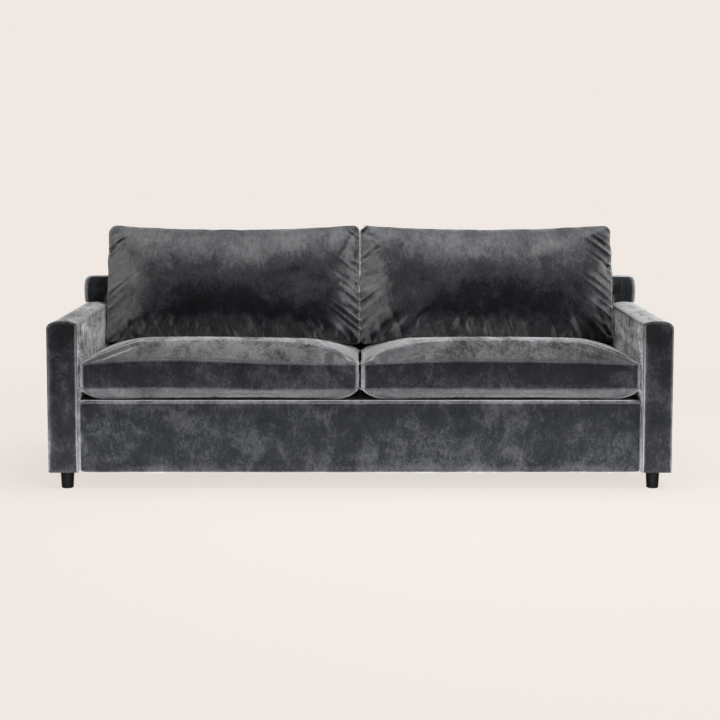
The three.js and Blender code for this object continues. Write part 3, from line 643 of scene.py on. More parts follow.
def velvet():
    """Crushed velvet: cloudy patches, strokes of brushed pile, the pile itself, and painted sheen on faces
    turned aside, up or down
    """
    look = Look("velvet")
    broad = look.noise(VELVET_BROAD, detail=1)
    patches = look.noise(VELVET_PATCH, detail=3, roughness=0.6, distortion=0.5)
    strokes = look.noise(VELVET_STROKE, detail=3, roughness=0.65, distortion=0.4)
    grain = look.noise(VELVET_GRAIN, roughness=0.6)
    pile = look.noise(VELVET_PILE, roughness=0.6)
    face_x, face_y, face_z = look.facing()
    level_front = look.math("POWER", look.math("ABSOLUTE", face_y), PAINTED_SHEEN_LEVEL_POWER)
    level_top = look.math("POWER", look.math("ABSOLUTE", face_z), PAINTED_SHEEN_LEVEL_POWER)

    def turned(toward, away):
        """Painted sheen along one axis: how much lighter a face turned either way is painted, by the
        strength and sharpness for each way
        """
        parts = []
        for turn, (most, power) in toward, away:
            parts.append((look.math("POWER", look.math("MAXIMUM", turn), power), most))
        return look.blend(parts)

    # Painted sheen: faces turned left, right, up or down get a lighter colour and more sheen weight, most
    # on upright faces and sideways on level tops.
    painted_sheen_sideways = turned((look.math("MULTIPLY", face_x, -1.0), PAINTED_SHEEN_LEFT), (face_x, PAINTED_SHEEN_RIGHT))
    painted_sheen_upward = turned((face_z, PAINTED_SHEEN_TOP), (look.math("MULTIPLY", face_z, -1.0), PAINTED_SHEEN_FOOT))
    painted_sheen_on_upright = look.math("MULTIPLY", look.math("ADD", painted_sheen_sideways, painted_sheen_upward), level_front)
    painted_sheen_uncapped = look.math("ADD", painted_sheen_on_upright, look.math("MULTIPLY", painted_sheen_sideways, level_top))
    # The painted sheen, held softly below the most that it can come to.
    painted_sheen_cap_divisor = look.math("ADD", look.math("DIVIDE", painted_sheen_uncapped, PAINTED_SHEEN_MOST), 1.0)
    lean = look.math("DIVIDE", painted_sheen_uncapped, painted_sheen_cap_divisor)
    patterns = zip((broad, patches, strokes, grain, pile), VELVET_SHARES)
    # The colour value: the pile's random mottling plus the painted sheen.
    mottle_and_painted_sheen = look.blend([*patterns, (lean, 1.0)])
    look.color(mottle_and_painted_sheen, VELVET_COLORS, VELVET_COLOR_PLACES)
    look.set("Roughness", look.span(strokes, VELVET_ROUGHNESS))
    look.set("Specular IOR Level", VELVET_SPECULAR)
    # The sheen weight follows the same value, so the painted sheen also raises it on turned faces.
    look.set("Sheen Weight", look.span(mottle_and_painted_sheen, VELVET_SHEEN, VELVET_SHEEN_FROM))
    look.set("Sheen Roughness", VELVET_SHEEN_ROUGHNESS)
    look.set("Sheen Tint", (*SHEEN_TINT, 1))
    rubbed = look.bump(look.blend([(patches, 0.5), (strokes, 0.5)]), VELVET_RUB)
    look.set("Normal", look.bump(pile, VELVET_PILE_HEIGHT, VELVET_PILE_STRENGTH, rubbed))
    return look.material


def wood(name, colors, ring_size, grain_sizes):
    look = Look(name, roughness=0.6)
    grain = look.noise(grain_sizes, detail=5, roughness=0.6, distortion=1.2)
    pores = look.noise(WOOD_PORES)
    rings = look.waves(ring_size, "Z", 4.0)
    look.color(look.blend([(grain, 0.6), (pores, 0.2), (rings, 0.2)]), colors)
    look.set("Normal", look.bump(pores, 0.0004, 0.4))
    return look.material


def black_paint():
    look = Look("black_paint")
    grain = look.noise((0.004, 0.004, 0.05), detail=4)
    look.color(grain, PAINT_COLORS, (0.3, 0.8))
    look.set("Roughness", look.span(grain, (0.5, 0.66)))
    look.set("Specular IOR Level", 0.03)
    look.set("Normal", look.bump(grain, 0.0003, 0.3))
    return look.material


def foam():
    look = Look("foam", roughness=0.95)
    place = look.stretched((0.0018, 0.0018, 0.0018))
    cells = look.node("TexVoronoi", {"Vector": place, "Scale": 1.0}).outputs["Distance"]
    shade = look.noise((0.05, 0.05, 0.05))
    look.color(look.blend([(cells, 0.4), (shade, 0.6)]), FOAM_COLORS, (0.2, 0.8))
    look.set("Normal", look.bump(cells, 0.001, 0.7))
    return look.material


def fibre():
    look = Look("fibre", roughness=1.0)
    strands = look.noise((0.012, 0.003, 0.006), detail=5, roughness=0.7, distortion=2.0)
    look.color(strands, FIBRE_COLORS)
    look.set("Normal", look.bump(strands, 0.003, 0.8))
    return look.material


def spring_steel():
    look = Look("spring_steel", metallic=0.9)
    scratches = look.noise((0.002, 0.02, 0.002), detail=3)
    look.color(scratches, STEEL_COLORS)
    look.set("Roughness", look.span(scratches, (0.3, 0.5)))
    return look.material


def black_cloth():
    look = Look("black_cloth", roughness=0.95)
    warp = look.waves(CLOTH_THREAD, "X")
    weft = look.waves(CLOTH_THREAD, "Y")
    shade = look.noise((0.06, 0.06, 0.06), detail=3)
    weave = look.math("MULTIPLY", warp, weft)
    look.color(look.blend([(weave, 0.4), (shade, 0.6)]), CLOTH_COLORS, (0.2, 0.8))
    look.set("Normal", look.bump(weave, 0.0006, 0.6))
    return look.material


def dress_cad_nodes():
    """Gives every CAD node its finish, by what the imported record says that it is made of"""
    for subpart in frame["record"]["subparts"]:
        mesh = frame["nodes"][subpart["node"]].data
        mesh.materials.clear()
        mesh.materials.append(finishes[subpart["material_slot"]])


# Arms

def arm_top(x, cover):
    """Height of the arm's top at a distance x from the sofa's middle"""
    inner, outer = cover["inner"], cover["outer"]
    crest = inner + ARM_CREST_SHARE * (outer - inner)
    inner_share = limited((crest - x) / (crest - inner))
    outer_share = limited((x - crest) / (outer - crest))
    shoulder = ARM_SHOULDER_DROP * (1 - np.sqrt(1 - outer_share ** ARM_SHOULDER_TURN))
    return cover["top"] - ARM_CROWN_RISE * inner_share ** 2 - shoulder


def arm_cover_of(name):
    low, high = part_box(f"{name}_arm_cover")
    return {
        "inner": min(abs(low.x), abs(high.x)) + TOUCH,
        "outer": max(abs(low.x), abs(high.x)) - PIPING_RADIUS,
        "front": low.y + PIPING_RADIUS,
        "rear": high.y,
        "bottom": low.z,
        "top": high.z - ARM_TOP_INSET,
    }


def arm_columns(cover):
    """Distances from the middle across the arm's face, closer together round the shoulder"""
    inner, outer = cover["inner"], cover["outer"]
    crest = inner + ARM_CREST_SHARE * (outer - inner)
    shoulder = np.sin(np.linspace(0, math.pi / 2, ARM_FACE_COLUMNS))
    return np.concatenate([
        [inner],
        np.linspace(inner + ARM_SEAM_STEP, crest, ARM_FACE_COLUMNS // 2, endpoint=False),
        crest + (outer - crest) * shoulder,
    ])


def open_rim(numbers):
    """Up the first column, along the top and down the last column of a grid"""
    return np.concatenate([numbers[0, :], numbers[1:-1, -1], numbers[-1, ::-1]])


def make_arm(name, side):
    """One arm: its face, then rings from the front seam to the hem at the rear, and its piping"""
    cover = arm_cover_of(name)
    inner, outer, bottom = cover["inner"], cover["outer"], cover["bottom"]
    front, rear = cover["front"], cover["rear"]
    columns = arm_columns(cover)
    x = np.repeat(columns[:, None], ARM_FACE_ROWS + 1, 1)
    seam_share = 1 - ARM_SEAM_STEP / (cover["top"] - bottom)
    share = np.append(np.linspace(0, seam_share, ARM_FACE_ROWS), 1)[None, :]
    z = bottom + share * (arm_top(x, cover) - bottom)
    width_share = 2 * (x - inner) / (outer - inner) - 1
    across, fullness = ARM_FRONT_FULLNESS
    puff = ARM_FRONT_PUFF * (1 - abs(width_share) ** across) ** fullness
    puff = puff * (1 - share ** ARM_FRONT_TOP_POWER) * (1 - (1 - share) ** ARM_FRONT_FOOT_POWER)
    wave = ripples(xyz(side * x, 0, z), ARM_FACE_WAVES)
    y = front - puff + wave * (puff / ARM_FRONT_PUFF)
    shell = Shell()
    face = shell.add(xyz(side * x, y, z))
    shell.weave(face)

    rim = open_rim(face)
    edge = shell.at(rim)
    front_path = edge.copy()
    front_path[:, 1] = front
    middle = (inner + outer) / 2
    shell.points[0][rim, 0] -= ARM_SEAM_DEPTH * np.sign(edge[:, 0] - side * middle)
    shell.points[0][rim, 1] += ARM_SEAM_DEPTH
    height_share = limited((edge[:, 2] - bottom) / (cover["top"] - bottom))
    on_outer = limited((abs(edge[:, 0]) - inner) / (outer - inner)) > ARM_OUTER_SHARE
    on_inner = abs(edge[:, 0]) < inner + TOUCH
    loops = [rim]
    depth = rear - front
    for step in range(1, ARM_RINGS + 1):
        along = depth * step / ARM_RINGS
        ring = edge.copy()
        ring[:, 1] = front + along
        ends = min(1.0, along / ARM_CALM_FRONT) * min(1.0, (depth - along) / ARM_CALM_REAR)
        swell = ARM_SIDE_PUFF * ends * np.sin(math.pi * height_share) ** ARM_SIDE_FULLNESS
        fold = (ripples(ring, ARM_CREASES) + ripples(ring, ARM_FINE_CREASES)) * ends
        ring[:, 0] += side * on_outer * (swell + ARM_OUTER_FOLD_SHARE * fold)
        ring[:, 0] -= side * on_inner * (ARM_INNER_PUFF_SHARE * swell + fold)
        ring[:, 2] += ~(on_outer | on_inner) * ripples(ring, ARM_TOP_WAVES) * ends
        ring[ARM_FACE_ROWS, 0] += side * ARM_SEAM_DEPTH
        ring[ARM_FACE_ROWS, 2] -= ARM_SEAM_DEPTH
        loops.append(shell.add(ring))
    for inset, drop in ARM_HEM:
        hem = shell.at(loops[-1])
        hem[:, 1] = rear - drop
        hem[:, 0] -= side * inset * np.sign(abs(hem[:, 0]) - middle)
        hem[:, 2] -= np.where(height_share > ARM_HEM_TOP_SHARE, inset, 0)
        loops.append(shell.add(hem))
    shell.rings(loops, closed=False)
    make_piece(f"{name}_arm", *shell.shape(), nodes=[f"{name}_arm_cover", f"{name}_arm_pad"], fill=0.9)

    make_piping(f"{name}_arm_front_piping", front_path)
    seam_z = arm_top(np.array([inner]), cover)[0]
    stations = np.linspace(front, back_face(seam_z) - TOUCH, ARM_RINGS)
    lane = xyz(side * inner, stations, seam_z)
    lane[:, 0] += ripples(lane, ARM_PIPING_ASIDE)
    lane[:, 2] += ripples(lane, ARM_PIPING_UP)
    make_piping(f"{name}_arm_top_piping", lane)


# Back

def back_face(z):
    """Where the back's inside face stands at a height z"""
    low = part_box("back_cover")[0]
    return low.y + (z - low.z) * math.tan(BACK_LEAN)


def make_back():
    """The back: its inside face, cut round the arms, then rings over the top and the ends to the rear"""
    low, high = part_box("back_cover")
    cover = arm_cover_of("right")
    arm_side = cover["inner"]
    front_half = high.x - BACK_END_DRAW
    near_ends = front_half - np.array(BACK_END_COLUMNS) * BACK_CORNER_RADIUS
    middle = np.linspace(0, arm_side - 2 * TOUCH, BACK_FACE_COLUMNS // 2)
    near_ends = near_ends[near_ends > arm_side]
    reach = np.sort(np.concatenate([middle, near_ends, [arm_side + TOUCH]]))
    columns = np.concatenate([-reach[:0:-1], reach])
    over_arm = abs(columns) > arm_side
    bottom = np.where(over_arm, arm_top(abs(columns), cover) + TOUCH, low.z)
    corner = limited((abs(columns) - front_half + BACK_CORNER_RADIUS) / BACK_CORNER_RADIUS)
    edge_top = high.z - TOUCH
    top = edge_top - BACK_CORNER_RADIUS * (1 - np.sqrt(1 - corner ** 2))
    share = np.linspace(0, 1, BACK_FACE_ROWS + 1)[None, :]
    x = np.repeat(columns[:, None], BACK_FACE_ROWS + 1, 1)
    z = bottom[:, None] + share * (top - bottom)[:, None]
    y = back_face(z) + BACK_FOOT_TUCK * (1 - share) ** 8 - BACK_FACE_PUFF * (1 - share ** 6)
    wing = limited((abs(x) - arm_side) / (front_half - arm_side))
    rise = limited((z - cover["top"]) / (edge_top - cover["top"]))
    x = x + np.sign(x) * BACK_END_SWELL * wing ** 3 * np.sin(math.pi * rise)
    shell = Shell()
    face = shell.add(xyz(x, y, z))
    shell.weave(face)

    rim = open_rim(face)
    edge = shell.at(rim)
    at_end = limited((abs(edge[:, 0]) - front_half + 2 * BACK_CORNER_RADIUS) / BACK_CORNER_RADIUS)
    on_top = limited((edge[:, 2] - edge_top + BACK_CORNER_RADIUS) / BACK_CORNER_RADIUS)
    loops = [rim]
    for step in range(1, BACK_RINGS + 1):
        portion = (step / BACK_RINGS) ** BACK_RING_SPREAD
        ring = edge.copy()
        ring[:, 1] += portion * (high.y - edge[:, 1])
        behind = ring[:, 1] - edge[:, 1]
        turn = limited(behind / BACK_BULGE_DEPTH)
        ring[:, 0] += np.sign(edge[:, 0]) * at_end * BACK_END_DRAW * np.sqrt(1 - (1 - turn) ** 2)
        ring[:, 2] -= on_top * BACK_TOP_FALL * portion ** 1.5
        loops.append(shell.add(ring))
    tuck = shell.at(loops[-1])
    tuck[:, 2] -= BACK_HEM * on_top
    tuck[:, 0] -= np.sign(tuck[:, 0]) * at_end * BACK_HEM
    tuck[:, 1] += BACK_HEM_DEPTH
    loops.append(shell.add(tuck))
    shell.rings(loops, closed=False)
    make_piece("back", *shell.shape(), nodes=["back_cover", "back_pad"], fill=0.8)
    make_piping("back_piping", edge, radius=SEAM_RADIUS)


def make_outside_back():
    low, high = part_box("outside_back")
    u, v, a, b = rounded_grid(high.x, (high.z - low.z) / 2, OUTSIDE_CORNER, OUTSIDE_STEP)
    swell = OUTSIDE_PUFF * dome(u, v, *OUTSIDE_DOME)
    waves = ripples(xyz(a, 0, b), OUTSIDE_BACK_WAVES) * (1 - u ** 8) * (1 - v ** 8)
    shell = Shell()
    centre_z = (low.z + high.z) / 2
    outer = shell.add(xyz(a, high.y + swell + waves, b + centre_z))
    inner = shell.add(xyz(a, low.y + TOUCH, b + centre_z))
    shell.weave(outer)
    shell.weave(inner)
    shell.rings([rim_of(outer), rim_of(inner)])
    make_piece("outside_back_panel", *shell.shape(), nodes=["outside_back"])


# Apron

def make_apron():
    low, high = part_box("apron_cover")
    half_x = (high.x - low.x) / 2
    half_z = (high.z - low.z) / 2
    centre_z = (low.z + high.z) / 2
    face_sizes = (half_x - APRON_EDGE, half_z - APRON_EDGE)
    u, v, a, b = rounded_grid(*face_sizes, APRON_CORNER, APRON_STEP)
    puff = APRON_PUFF * dome(u, v, *APRON_DOME)
    waves = ripples(xyz(a, 0, b), APRON_WAVES) * (1 - v ** 4)
    shell = Shell()
    face = shell.add(xyz(a, low.y - puff + waves, b + centre_z))
    shell.weave(face)
    rim = rim_of(face)
    edge = shell.at(rim)
    outward = ways_out(edge[:, [0, 2]], (0, centre_z), face_sizes, APRON_CORNER)
    loops = [rim]
    for step in range(1, APRON_EDGE_RINGS + 1):
        turn = math.pi / 2 * step / APRON_EDGE_RINGS
        ring = edge.copy()
        ring[:, [0, 2]] += outward * APRON_EDGE * math.sin(turn)
        ring[:, 1] = low.y + APRON_EDGE * (1 - math.cos(turn))
        loops.append(shell.add(ring))
    for share in APRON_SIDE_SHARES:
        ring = shell.at(loops[APRON_EDGE_RINGS])
        ring[:, 1] += share * (high.y - ring[:, 1])
        loops.append(shell.add(ring))
    shell.rings(loops)
    make_piece("apron", *shell.shape(), nodes=["apron_cover", "apron_pad"], fill=0.9)


# Seat cushions

def seat_sides(name):
    """A seat cushion's inner and outer side, as distances from the sofa's middle"""
    low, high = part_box(f"{name}_seat_cushion_cover")
    return min(abs(low.x), abs(high.x)) + PIPING_RADIUS, max(abs(low.x), abs(high.x)) + SEAT_SIDE_REACH


def rest_fall(name, x):
    """How far a pillow's foot and the seat under it fall towards the ends of the cushion"""
    inner, outer = seat_sides(name)
    fall_inner = REST_FALL_INNER * np.exp(-((abs(x) - inner) / REST_FALL_REACH) ** 2)
    fall_outer = REST_FALL_OUTER * np.exp(-((abs(x) - outer) / REST_FALL_REACH) ** 2)
    return fall_inner + fall_outer


def seat_rest(name, x, y):
    """The greatest height of a seat cushion: nearly flat where the pillow stands, rising in front of it"""
    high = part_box(f"{name}_seat_cushion_cover")[1]
    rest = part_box(f"{name}_back_pillow_cover")[0].z - 2 * TOUCH - rest_fall(name, x)
    return rest + np.maximum(0, high.y - SEAT_REST_DEPTH - y) * SEAT_REST_SLOPE


def seat_shell(name):
    """A boxed cushion: top, band and bottom, with the point numbers of its two seams"""
    low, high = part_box(f"{name}_seat_cushion_cover")
    centre = (low + high) / 2
    inner, outer = seat_sides(name)
    centre.x = math.copysign((inner + outer) / 2, centre.x)
    half_x = (outer - inner) / 2
    half_y = (high.y - low.y) / 2 - PIPING_RADIUS
    u, v, a, b = rounded_grid(half_x, half_y, SEAT_CORNER_RADIUS)
    a = a - np.sign(u) * SEAT_SIDE_DRAW * (1 - v ** 2) * abs(u) ** 3
    b = b - np.sign(v) * SEAT_SIDE_DRAW * (1 - u ** 2) * abs(v) ** 3
    b = b - np.sign(v) * SEAT_END_DRAW * abs(u) ** 6 * abs(v) ** 3
    lean = SEAT_SEAM_LEAN[name] * np.sin(math.pi * u) * (1 - v) / 2
    sink = SEAT_SIDE_SINK * u ** 10 * ((1 + v) / 2) ** 1.5
    upper = low.z + SEAT_UPPER_SEAM + SEAT_SEAM_ARCH * (1 - u ** 2) - sink - lean
    lower = low.z + SEAT_LOWER_SEAM - SEAT_LOWER_LEAN_SHARE * lean
    x, y = centre.x + a, centre.y + b
    crown = upper + SEAT_CROWN * dome(u, v, *SEAT_DOME)
    crown = -soft_floor(-crown, -seat_rest(name, x, y), SEAT_CROWN_TURN)
    near_side = limited(1 - (1 - abs(u)) * half_x / SEAT_SIDE_BAND)
    near_side = np.sqrt(1 - np.sqrt(1 - near_side ** 2))
    near_front = 1 - (1 - abs(v)) * half_y / SEAT_FRONT_BAND
    edge = np.maximum(0, np.maximum(near_side, near_front))
    under = low.z + TOUCH + (lower - low.z) * edge ** 2
    shell = Shell()
    top = shell.add(xyz(x, y, crown))
    bottom = shell.add(xyz(x, y, under))
    shell.weave(top)
    shell.weave(bottom)
    loops = [rim_of(top)]
    upper_rim = shell.at(rim_of(top))
    lower_rim = shell.at(rim_of(bottom))
    outward = ways_out(upper_rim[:, :2], (centre.x, centre.y), (half_x, half_y), SEAT_CORNER_RADIUS)
    for step in range(1, SEAT_BAND_RINGS):
        share = step / SEAT_BAND_RINGS
        ring = upper_rim + share * (lower_rim - upper_rim)
        ring[:, :2] += outward * SEAT_BAND_BULGE * math.sin(math.pi * share)
        loops.append(shell.add(ring))
    loops.append(rim_of(bottom))
    shell.rings(loops)
    return shell, loops, outward


def make_seat_cushion(name, seed):
    """A seat cushion blown up a little, with spare cloth that fans out from its corner by the middle"""
    body = f"{name}_seat_cushion"
    low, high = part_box(f"{body}_cover")
    shell, loops, outward = seat_shell(name)
    points, faces = shell.shape()
    seams = np.concatenate([loops[0], loops[-1]])
    points[seams, 2] += noise_at(points[seams], SEAT_WANDER_PATCH, seed) * SEAT_SEAM_WANDER
    held = np.zeros(len(points))
    held[seams] = 1
    tree = KDTree(len(seams))
    for index, place in enumerate(points[seams]):
        tree.insert(place, index)
    tree.balance()
    from_seam = np.array([tree.find(place)[2] for place in points])
    fan_corner = (low.x if name == "right" else high.x, low.y, high.z)
    from_fan = np.linalg.norm(points - np.array(fan_corner), axis=1)
    fan = SEAT_FAN_SLACK * np.exp(-(from_fan / SEAT_FAN_REACH) ** 2)
    on_top = np.arange(len(points)) < loops[-1].min()
    slack = fan * limited(from_seam / SEAT_SEAM_BAND) * on_top
    shaped = inflate(points, faces, held, slack, **SEAT_CLOTH)
    moved = shaped - points
    length = np.linalg.norm(moved, axis=1)[:, None]
    points = points + moved * np.minimum(1, SEAT_MOST_SWELL / np.maximum(length, 1e-9))
    rest = seat_rest(name, points[:, 0], points[:, 1])
    points[:, 2] = -soft_floor(-points[:, 2], -rest, SEAT_REST_TURN)
    points[:, 2] = soft_floor(points[:, 2], low.z + TOUCH, SEAT_FOOT_TURN)
    finer, finer_faces, _ = smoothed(points, faces, seams)
    make_piece(body, finer, finer_faces, body, nodes=[f"{body}_cover", f"{body}_foam"], fill=0.85)
    for label, loop in (("upper", loops[0]), ("lower", loops[-1])):
        path = points[loop].copy()
        path[:, :2] += outward * PIPING_RADIUS * SEAT_PIPING_STAND
        make_piping(f"{name}_seat_{label}_piping", path, body, closed=True)


# Back pillows

def pillow_shell(half_width, half_height, outer_way):
    """A front and a rear panel that share their edge. Gives the shell, each point's shares u and v, and the
    numbers of the points along the seam."""
    u, v, a, b = rounded_grid(half_width, half_height, PILLOW_CORNER_RADIUS, PILLOW_STEP)
    a = a - PILLOW_TAPER * u * v * (u * outer_way > 0)
    b = b - PILLOW_SAG * (1 - u ** 2) * np.maximum(0, v) ** 2
    swell = PILLOW_START_SHARE * dome(u, v, *PILLOW_DOME) * (1 - PILLOW_LOW_BELLY * v)
    inside = np.s_[1:-1, 1:-1]
    shell = Shell()
    front = shell.add(xyz(a, -PILLOW_FRONT_SWELL * swell, b))
    behind = front.copy()
    behind[inside] = shell.add(xyz(a, PILLOW_REAR_SWELL * swell, b)[inside])
    shell.weave(front)
    shell.weave(behind)
    u = np.concatenate([u.ravel(), u[inside].ravel()])
    v = np.concatenate([v.ravel(), v[inside].ravel()])
    return shell, u, v, rim_of(front)


def pillow_slack(points, from_side, from_top, from_foot, seed):
    """Spare cloth near the seams: most at the sides, some at the foot, little along the top"""
    slack = np.zeros(len(points))
    edges = ((from_side, PILLOW_SLACK_SIDE), (from_top, PILLOW_SLACK_TOP), (from_foot, PILLOW_SLACK_FOOT))
    for distance, (most, reach) in edges:
        slack = np.maximum(slack, most * limited(1 - distance / reach))
    uneven = np.clip(0.6 + 1.5 * noise_at(points * (1, 0, 1), PILLOW_SLACK_PATCH, seed), 0.05, 1)
    at_seam = limited(np.minimum(np.minimum(from_side, from_top), from_foot) / PILLOW_SEAM_BAND)
    return slack * uneven * at_seam


def gathers(along, away, seed, shape):
    """Uneven folds beside a seam: sharp valleys, or sharp ridges where the depth is negative"""
    spacing, reach, slant, depth, roundness = shape
    place = along - slant * away
    place = place + 0.5 * spacing * line_noise(place, 1.6 * spacing, seed)
    strength = limited(0.5 + 1.5 * line_noise(place, 1.3 * spacing, seed + 5))
    length = reach * (0.7 + 1.2 * line_noise(place, 1.1 * spacing, seed + 9))
    window = limited(away / GATHER_START) * np.exp(-(away / np.maximum(length, reach / 4)) ** 2)
    valley = 1 - abs(np.sin(math.pi * place / spacing)) ** roundness
    return depth * strength * window * (GATHER_RIDGE - valley)


def make_pillow(name, seed):
    """A back pillow: blown up flat, gathered beside its seams, then leaned on the back"""
    body = f"{name}_back_pillow"
    low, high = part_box(f"{body}_cover")
    half_width = (high.x - low.x + PILLOW_MIDDLE_REACH) / 2
    centre_x = math.copysign(half_width + PILLOW_MIDDLE_GAP / 2, low.x + high.x)
    half_height = PILLOW_HEIGHT / 2
    outer_way = math.copysign(1, centre_x)
    shell, u, v, seam = pillow_shell(half_width, half_height, outer_way)
    points, faces = shell.shape()
    from_side = (1 - abs(u)) * half_width
    from_top = (1 - v) * half_height
    from_foot = (1 + v) * half_height
    from_edge = np.minimum(np.minimum(from_side, from_top), from_foot)
    near = limited(1 - from_edge / PILLOW_WANDER_REACH)
    aside = limited(u * outer_way)
    for axis, most in enumerate(PILLOW_SEAM_WANDER):
        wander = noise_at(shell.all_points() * (1, 0, 1), PILLOW_WANDER_PATCH, seed + axis)
        points[:, axis] += most * near * wander * (aside if axis == 0 else 1)
    slack = pillow_slack(points, from_side, from_top, from_foot, seed)
    held = (from_edge < TOUCH).astype(float)
    points = inflate(points, faces, held, slack, **PILLOW_CLOTH)
    rough_seam = points[seam]
    points, faces, normals = smoothed(points, faces, seam)
    for way in (-1, 1):
        swell = gathers(points[:, 2], half_width - way * points[:, 0], seed + 40 + way, GATHER_SIDE)
        points = points + normals * swell[:, None]
    swell = gathers(points[:, 0], half_height + points[:, 2], seed + 50, GATHER_FOOT)
    swell += gathers(points[:, 0], half_height - points[:, 2], seed + 60, GATHER_TOP)
    points = points + normals * swell[:, None]
    points = np.concatenate([points, rough_seam])
    along = points[:, 2] + half_height
    out = -points[:, 1]
    rise, set_back = math.cos(PILLOW_TILT), math.sin(PILLOW_TILT)
    placed = xyz(
        points[:, 0] + centre_x,
        back_face(low.z) - PILLOW_FOOT_FROM_BACK + along * set_back - out * rise,
        low.z - PILLOW_FOOT_SINK + along * rise + out * set_back,
    )
    fall = rest_fall(name, placed[:, 0])
    placed[:, 2] -= fall * limited(1 - along / PILLOW_EAR_HEIGHT) ** 2
    placed[:, 2] = soft_floor(placed[:, 2], low.z - fall, PILLOW_FOOT_TURN)
    plane = back_face(placed[:, 2]) - TOUCH
    placed[:, 1] = plane - soft_floor(plane - placed[:, 1], 0, PILLOW_BACK_TURN)
    placed, path = placed[:-len(seam)], placed[-len(seam):]
    make_piece(body, placed, faces, body, nodes=[f"{body}_cover", f"{body}_filling"], fill=0.75)
    free = abs(path[:, 0]) > PILLOW_MIDDLE_CLEAR
    first = np.flatnonzero(free & ~np.roll(free, 1))[0]
    path = np.roll(path, -first, 0)[np.roll(free, -first)]
    make_piping(f"{body}_seam", path, body, radius=SEAM_RADIUS)


# Feet

def make_foot(name):
    """A turned foot: flat below, round at the rim, wider towards the top"""
    low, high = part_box(name)
    centre_x, centre_y = (low.x + high.x) / 2, (low.y + high.y) / 2
    top_radius = (high.x - low.x) / 2
    bottom_radius = top_radius - FOOT_TAPER
    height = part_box("left_arm_cover")[0].z
    profile = [(bottom_radius * FOOT_FLAT_SHARE, 0.0)]
    for turn in np.linspace(0, math.pi / 2, FOOT_RIM_STEPS):
        radius = bottom_radius - FOOT_RIM + FOOT_RIM * math.sin(turn)
        profile.append((radius, FOOT_RIM - FOOT_RIM * math.cos(turn)))
    profile.append((top_radius, height - FOOT_TOP_STEP))
    profile.append((top_radius - FOOT_TOP_BEVEL, height - FOOT_TOP_GAP))
    turns = np.linspace(0, 2 * math.pi, FOOT_SIDES, endpoint=False)
    shell = Shell()
    loops = []
    for radius, z in profile:
        x = centre_x + radius * np.cos(turns)
        y = centre_y + radius * np.sin(turns)
        loops.append(shell.add(xyz(x, y, z)))
    shell.rings(loops)
    faces = shell.all_faces().tolist() + [loops[0].tolist(), loops[-1].tolist()]
    make_piece(f"{name}_turned", shell.all_points(), faces, nodes=[name], slot="black_wood")


# Stage

def make_camera():
    data = bpy.data.cameras.new("camera")
    data.lens = CAMERA_LENS
    data.sensor_width = CAMERA_SENSOR
    data.shift_y = CAMERA_SHIFT
    camera = link("camera", data)
    camera.location = (0, cad_box[0][1] - CAMERA_AHEAD, CAMERA_HEIGHT)
    camera.rotation_euler = (math.pi / 2 - CAMERA_DOWN, 0, 0)
    bpy.context.scene.camera = camera


def make_world():
    """A studio that is bright behind and above the sofa and dim in front, seen as the plain background"""
    world = bpy.data.worlds.new("studio")
    tree = NodeTree(world)
    way = tree.node("TexCoord").outputs["Generated"]
    toward = tree.node("VectorMath", {0: way, 1: WORLD_BRIGHT_SIDE}, operation="DOT_PRODUCT")
    ends = (WORLD_FRONT, WORLD_BEHIND)
    strength = tree.span(toward.outputs["Value"], ends, WORLD_TURN, interpolation_type="SMOOTHSTEP")
    lit = tree.nodes["Background"]
    tree.plug(lit.inputs["Color"], (1, 1, 1, 1))
    tree.plug(lit.inputs["Strength"], strength)
    shown = tree.node("Background", {"Color": (*BACKGROUND, 1)})
    seen = tree.seen(tree.node("LightPath").outputs)
    mix = tree.node("MixShader", {0: seen, 1: lit.outputs["Background"], 2: shown.outputs["Background"]})
    tree.plug(tree.nodes["World Output"].inputs["Surface"], mix.outputs["Shader"])
    bpy.context.scene.world = world


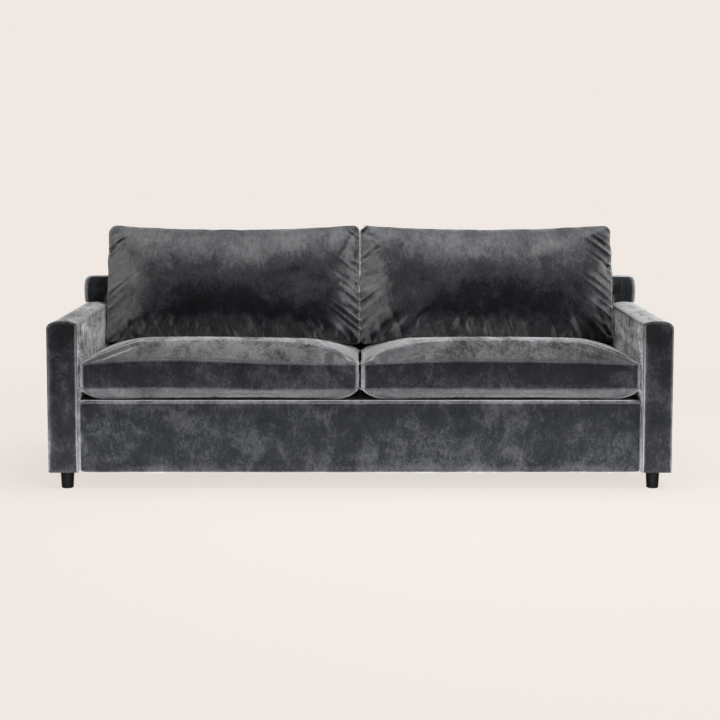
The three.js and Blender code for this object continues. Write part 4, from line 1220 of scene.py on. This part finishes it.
def make_floor():
    """A pale floor in the background's own colour, darkened only where the sofa shades it, and glowing onto
    the sofa in place of bounced light
    """
    mesh = bpy.data.meshes.new("floor")
    corners = [(FLOOR_REACH * x, FLOOR_REACH * y, 0) for x, y in ((-1, -1), (1, -1), (1, 1), (-1, 1))]
    mesh.from_pydata(corners, [], [(0, 1, 2, 3)])
    floor = link("floor", mesh)
    look = Look("floor", roughness=1.0)
    look.set("Base Color", (*BACKGROUND, 1))
    look.set("Specular IOR Level", 0.0)
    glow = look.node("Emission", {"Color": (*BACKGROUND, 1), "Strength": 1.0})
    distance = look.node("VectorMath", {0: look.place}, operation="LENGTH").outputs["Value"]
    nearby = look.span(distance, (FLOOR_NEAR_SHARE, 1.0), FLOOR_NEAR)
    rays = look.node("LightPath").outputs
    # The floor glows for diffuse rays, a painted stand-in for the light that a bright floor bounces onto
    # the sofa.
    floor_glow_on_sofa = look.math("MULTIPLY", rays["Is Diffuse Ray"], FLOOR_GLOW)
    shown = look.math("MAXIMUM", look.math("MULTIPLY", look.seen(rays), nearby), floor_glow_on_sofa)
    mix = look.node("MixShader", {0: shown, 1: look.shader.outputs["BSDF"], 2: glow.outputs["Emission"]})
    look.plug(look.nodes["Material Output"].inputs["Surface"], mix.outputs["Shader"])
    floor.data.materials.append(look.material)
    return floor


def make_light(name, place, target, size, power, spread=math.pi):
    """A soft rectangular light, of a size in metres and a power in watts, turned to a target"""
    data = bpy.data.lights.new(name, "AREA")
    data.shape = "RECTANGLE"
    data.size, data.size_y = size
    data.energy = power
    data.spread = spread
    light = link(name, data)
    light.location = place
    light.visible_camera = False
    light.rotation_euler = (Vector(target) - Vector(place)).to_track_quat("-Z", "Y").to_euler()
    return light


def leave_unlit(light, thing):
    """Keeps a light from falling on a thing"""
    unlit = bpy.data.collections.new(f"unlit_by_{light.name}")
    unlit.objects.link(thing)
    unlit.collection_objects[0].light_linking.link_state = "EXCLUDE"
    light.light_linking.receiver_collection = unlit


make_camera()
make_world()
floor = make_floor()
make_light("top_light", place=(0.3, -0.5, 3.0), target=(0, -0.4, 0.4), size=(3.6, 2.6), power=88)
make_light("back_light", place=(0.6, 2.4, 2.0), target=(0, 0, 0.8), size=(4.0, 1.2), power=6)
make_light("front_light", place=(2.6, -5.0, 1.6), target=(-0.3, 0, 0.5), size=(1.4, 1.2), power=150)
low_light = make_light("low_light", place=(0, -1.05, 0.04), target=(0, -0.45, 0.08), size=(2.8, 0.25),
                       power=25, spread=math.radians(90))
leave_unlit(low_light, floor)
bpy.context.scene.view_settings.view_transform = "Standard"

finishes = {
    "velvet": velvet(),
    "foam": foam(),
    "fibre": fibre(),
    "plywood": wood("plywood", PLYWOOD_COLORS, PLYWOOD_RINGS, PLYWOOD_GRAIN),
    "hardwood": wood("hardwood", HARDWOOD_COLORS, HARDWOOD_RINGS, HARDWOOD_GRAIN),
    "spring_steel": spring_steel(),
    "black_wood": black_paint(),
    "black_cloth": black_cloth(),
}
dress_cad_nodes()
for side, name, seed in ((-1, "left", 11), (1, "right", 24)):
    make_arm(name, side)
    make_seat_cushion(name, seed)
    make_pillow(name, seed)
    make_foot(f"{name}_front_foot")
    make_foot(f"{name}_rear_foot")
make_foot("centre_foot")
make_back()
make_outside_back()
make_apron()
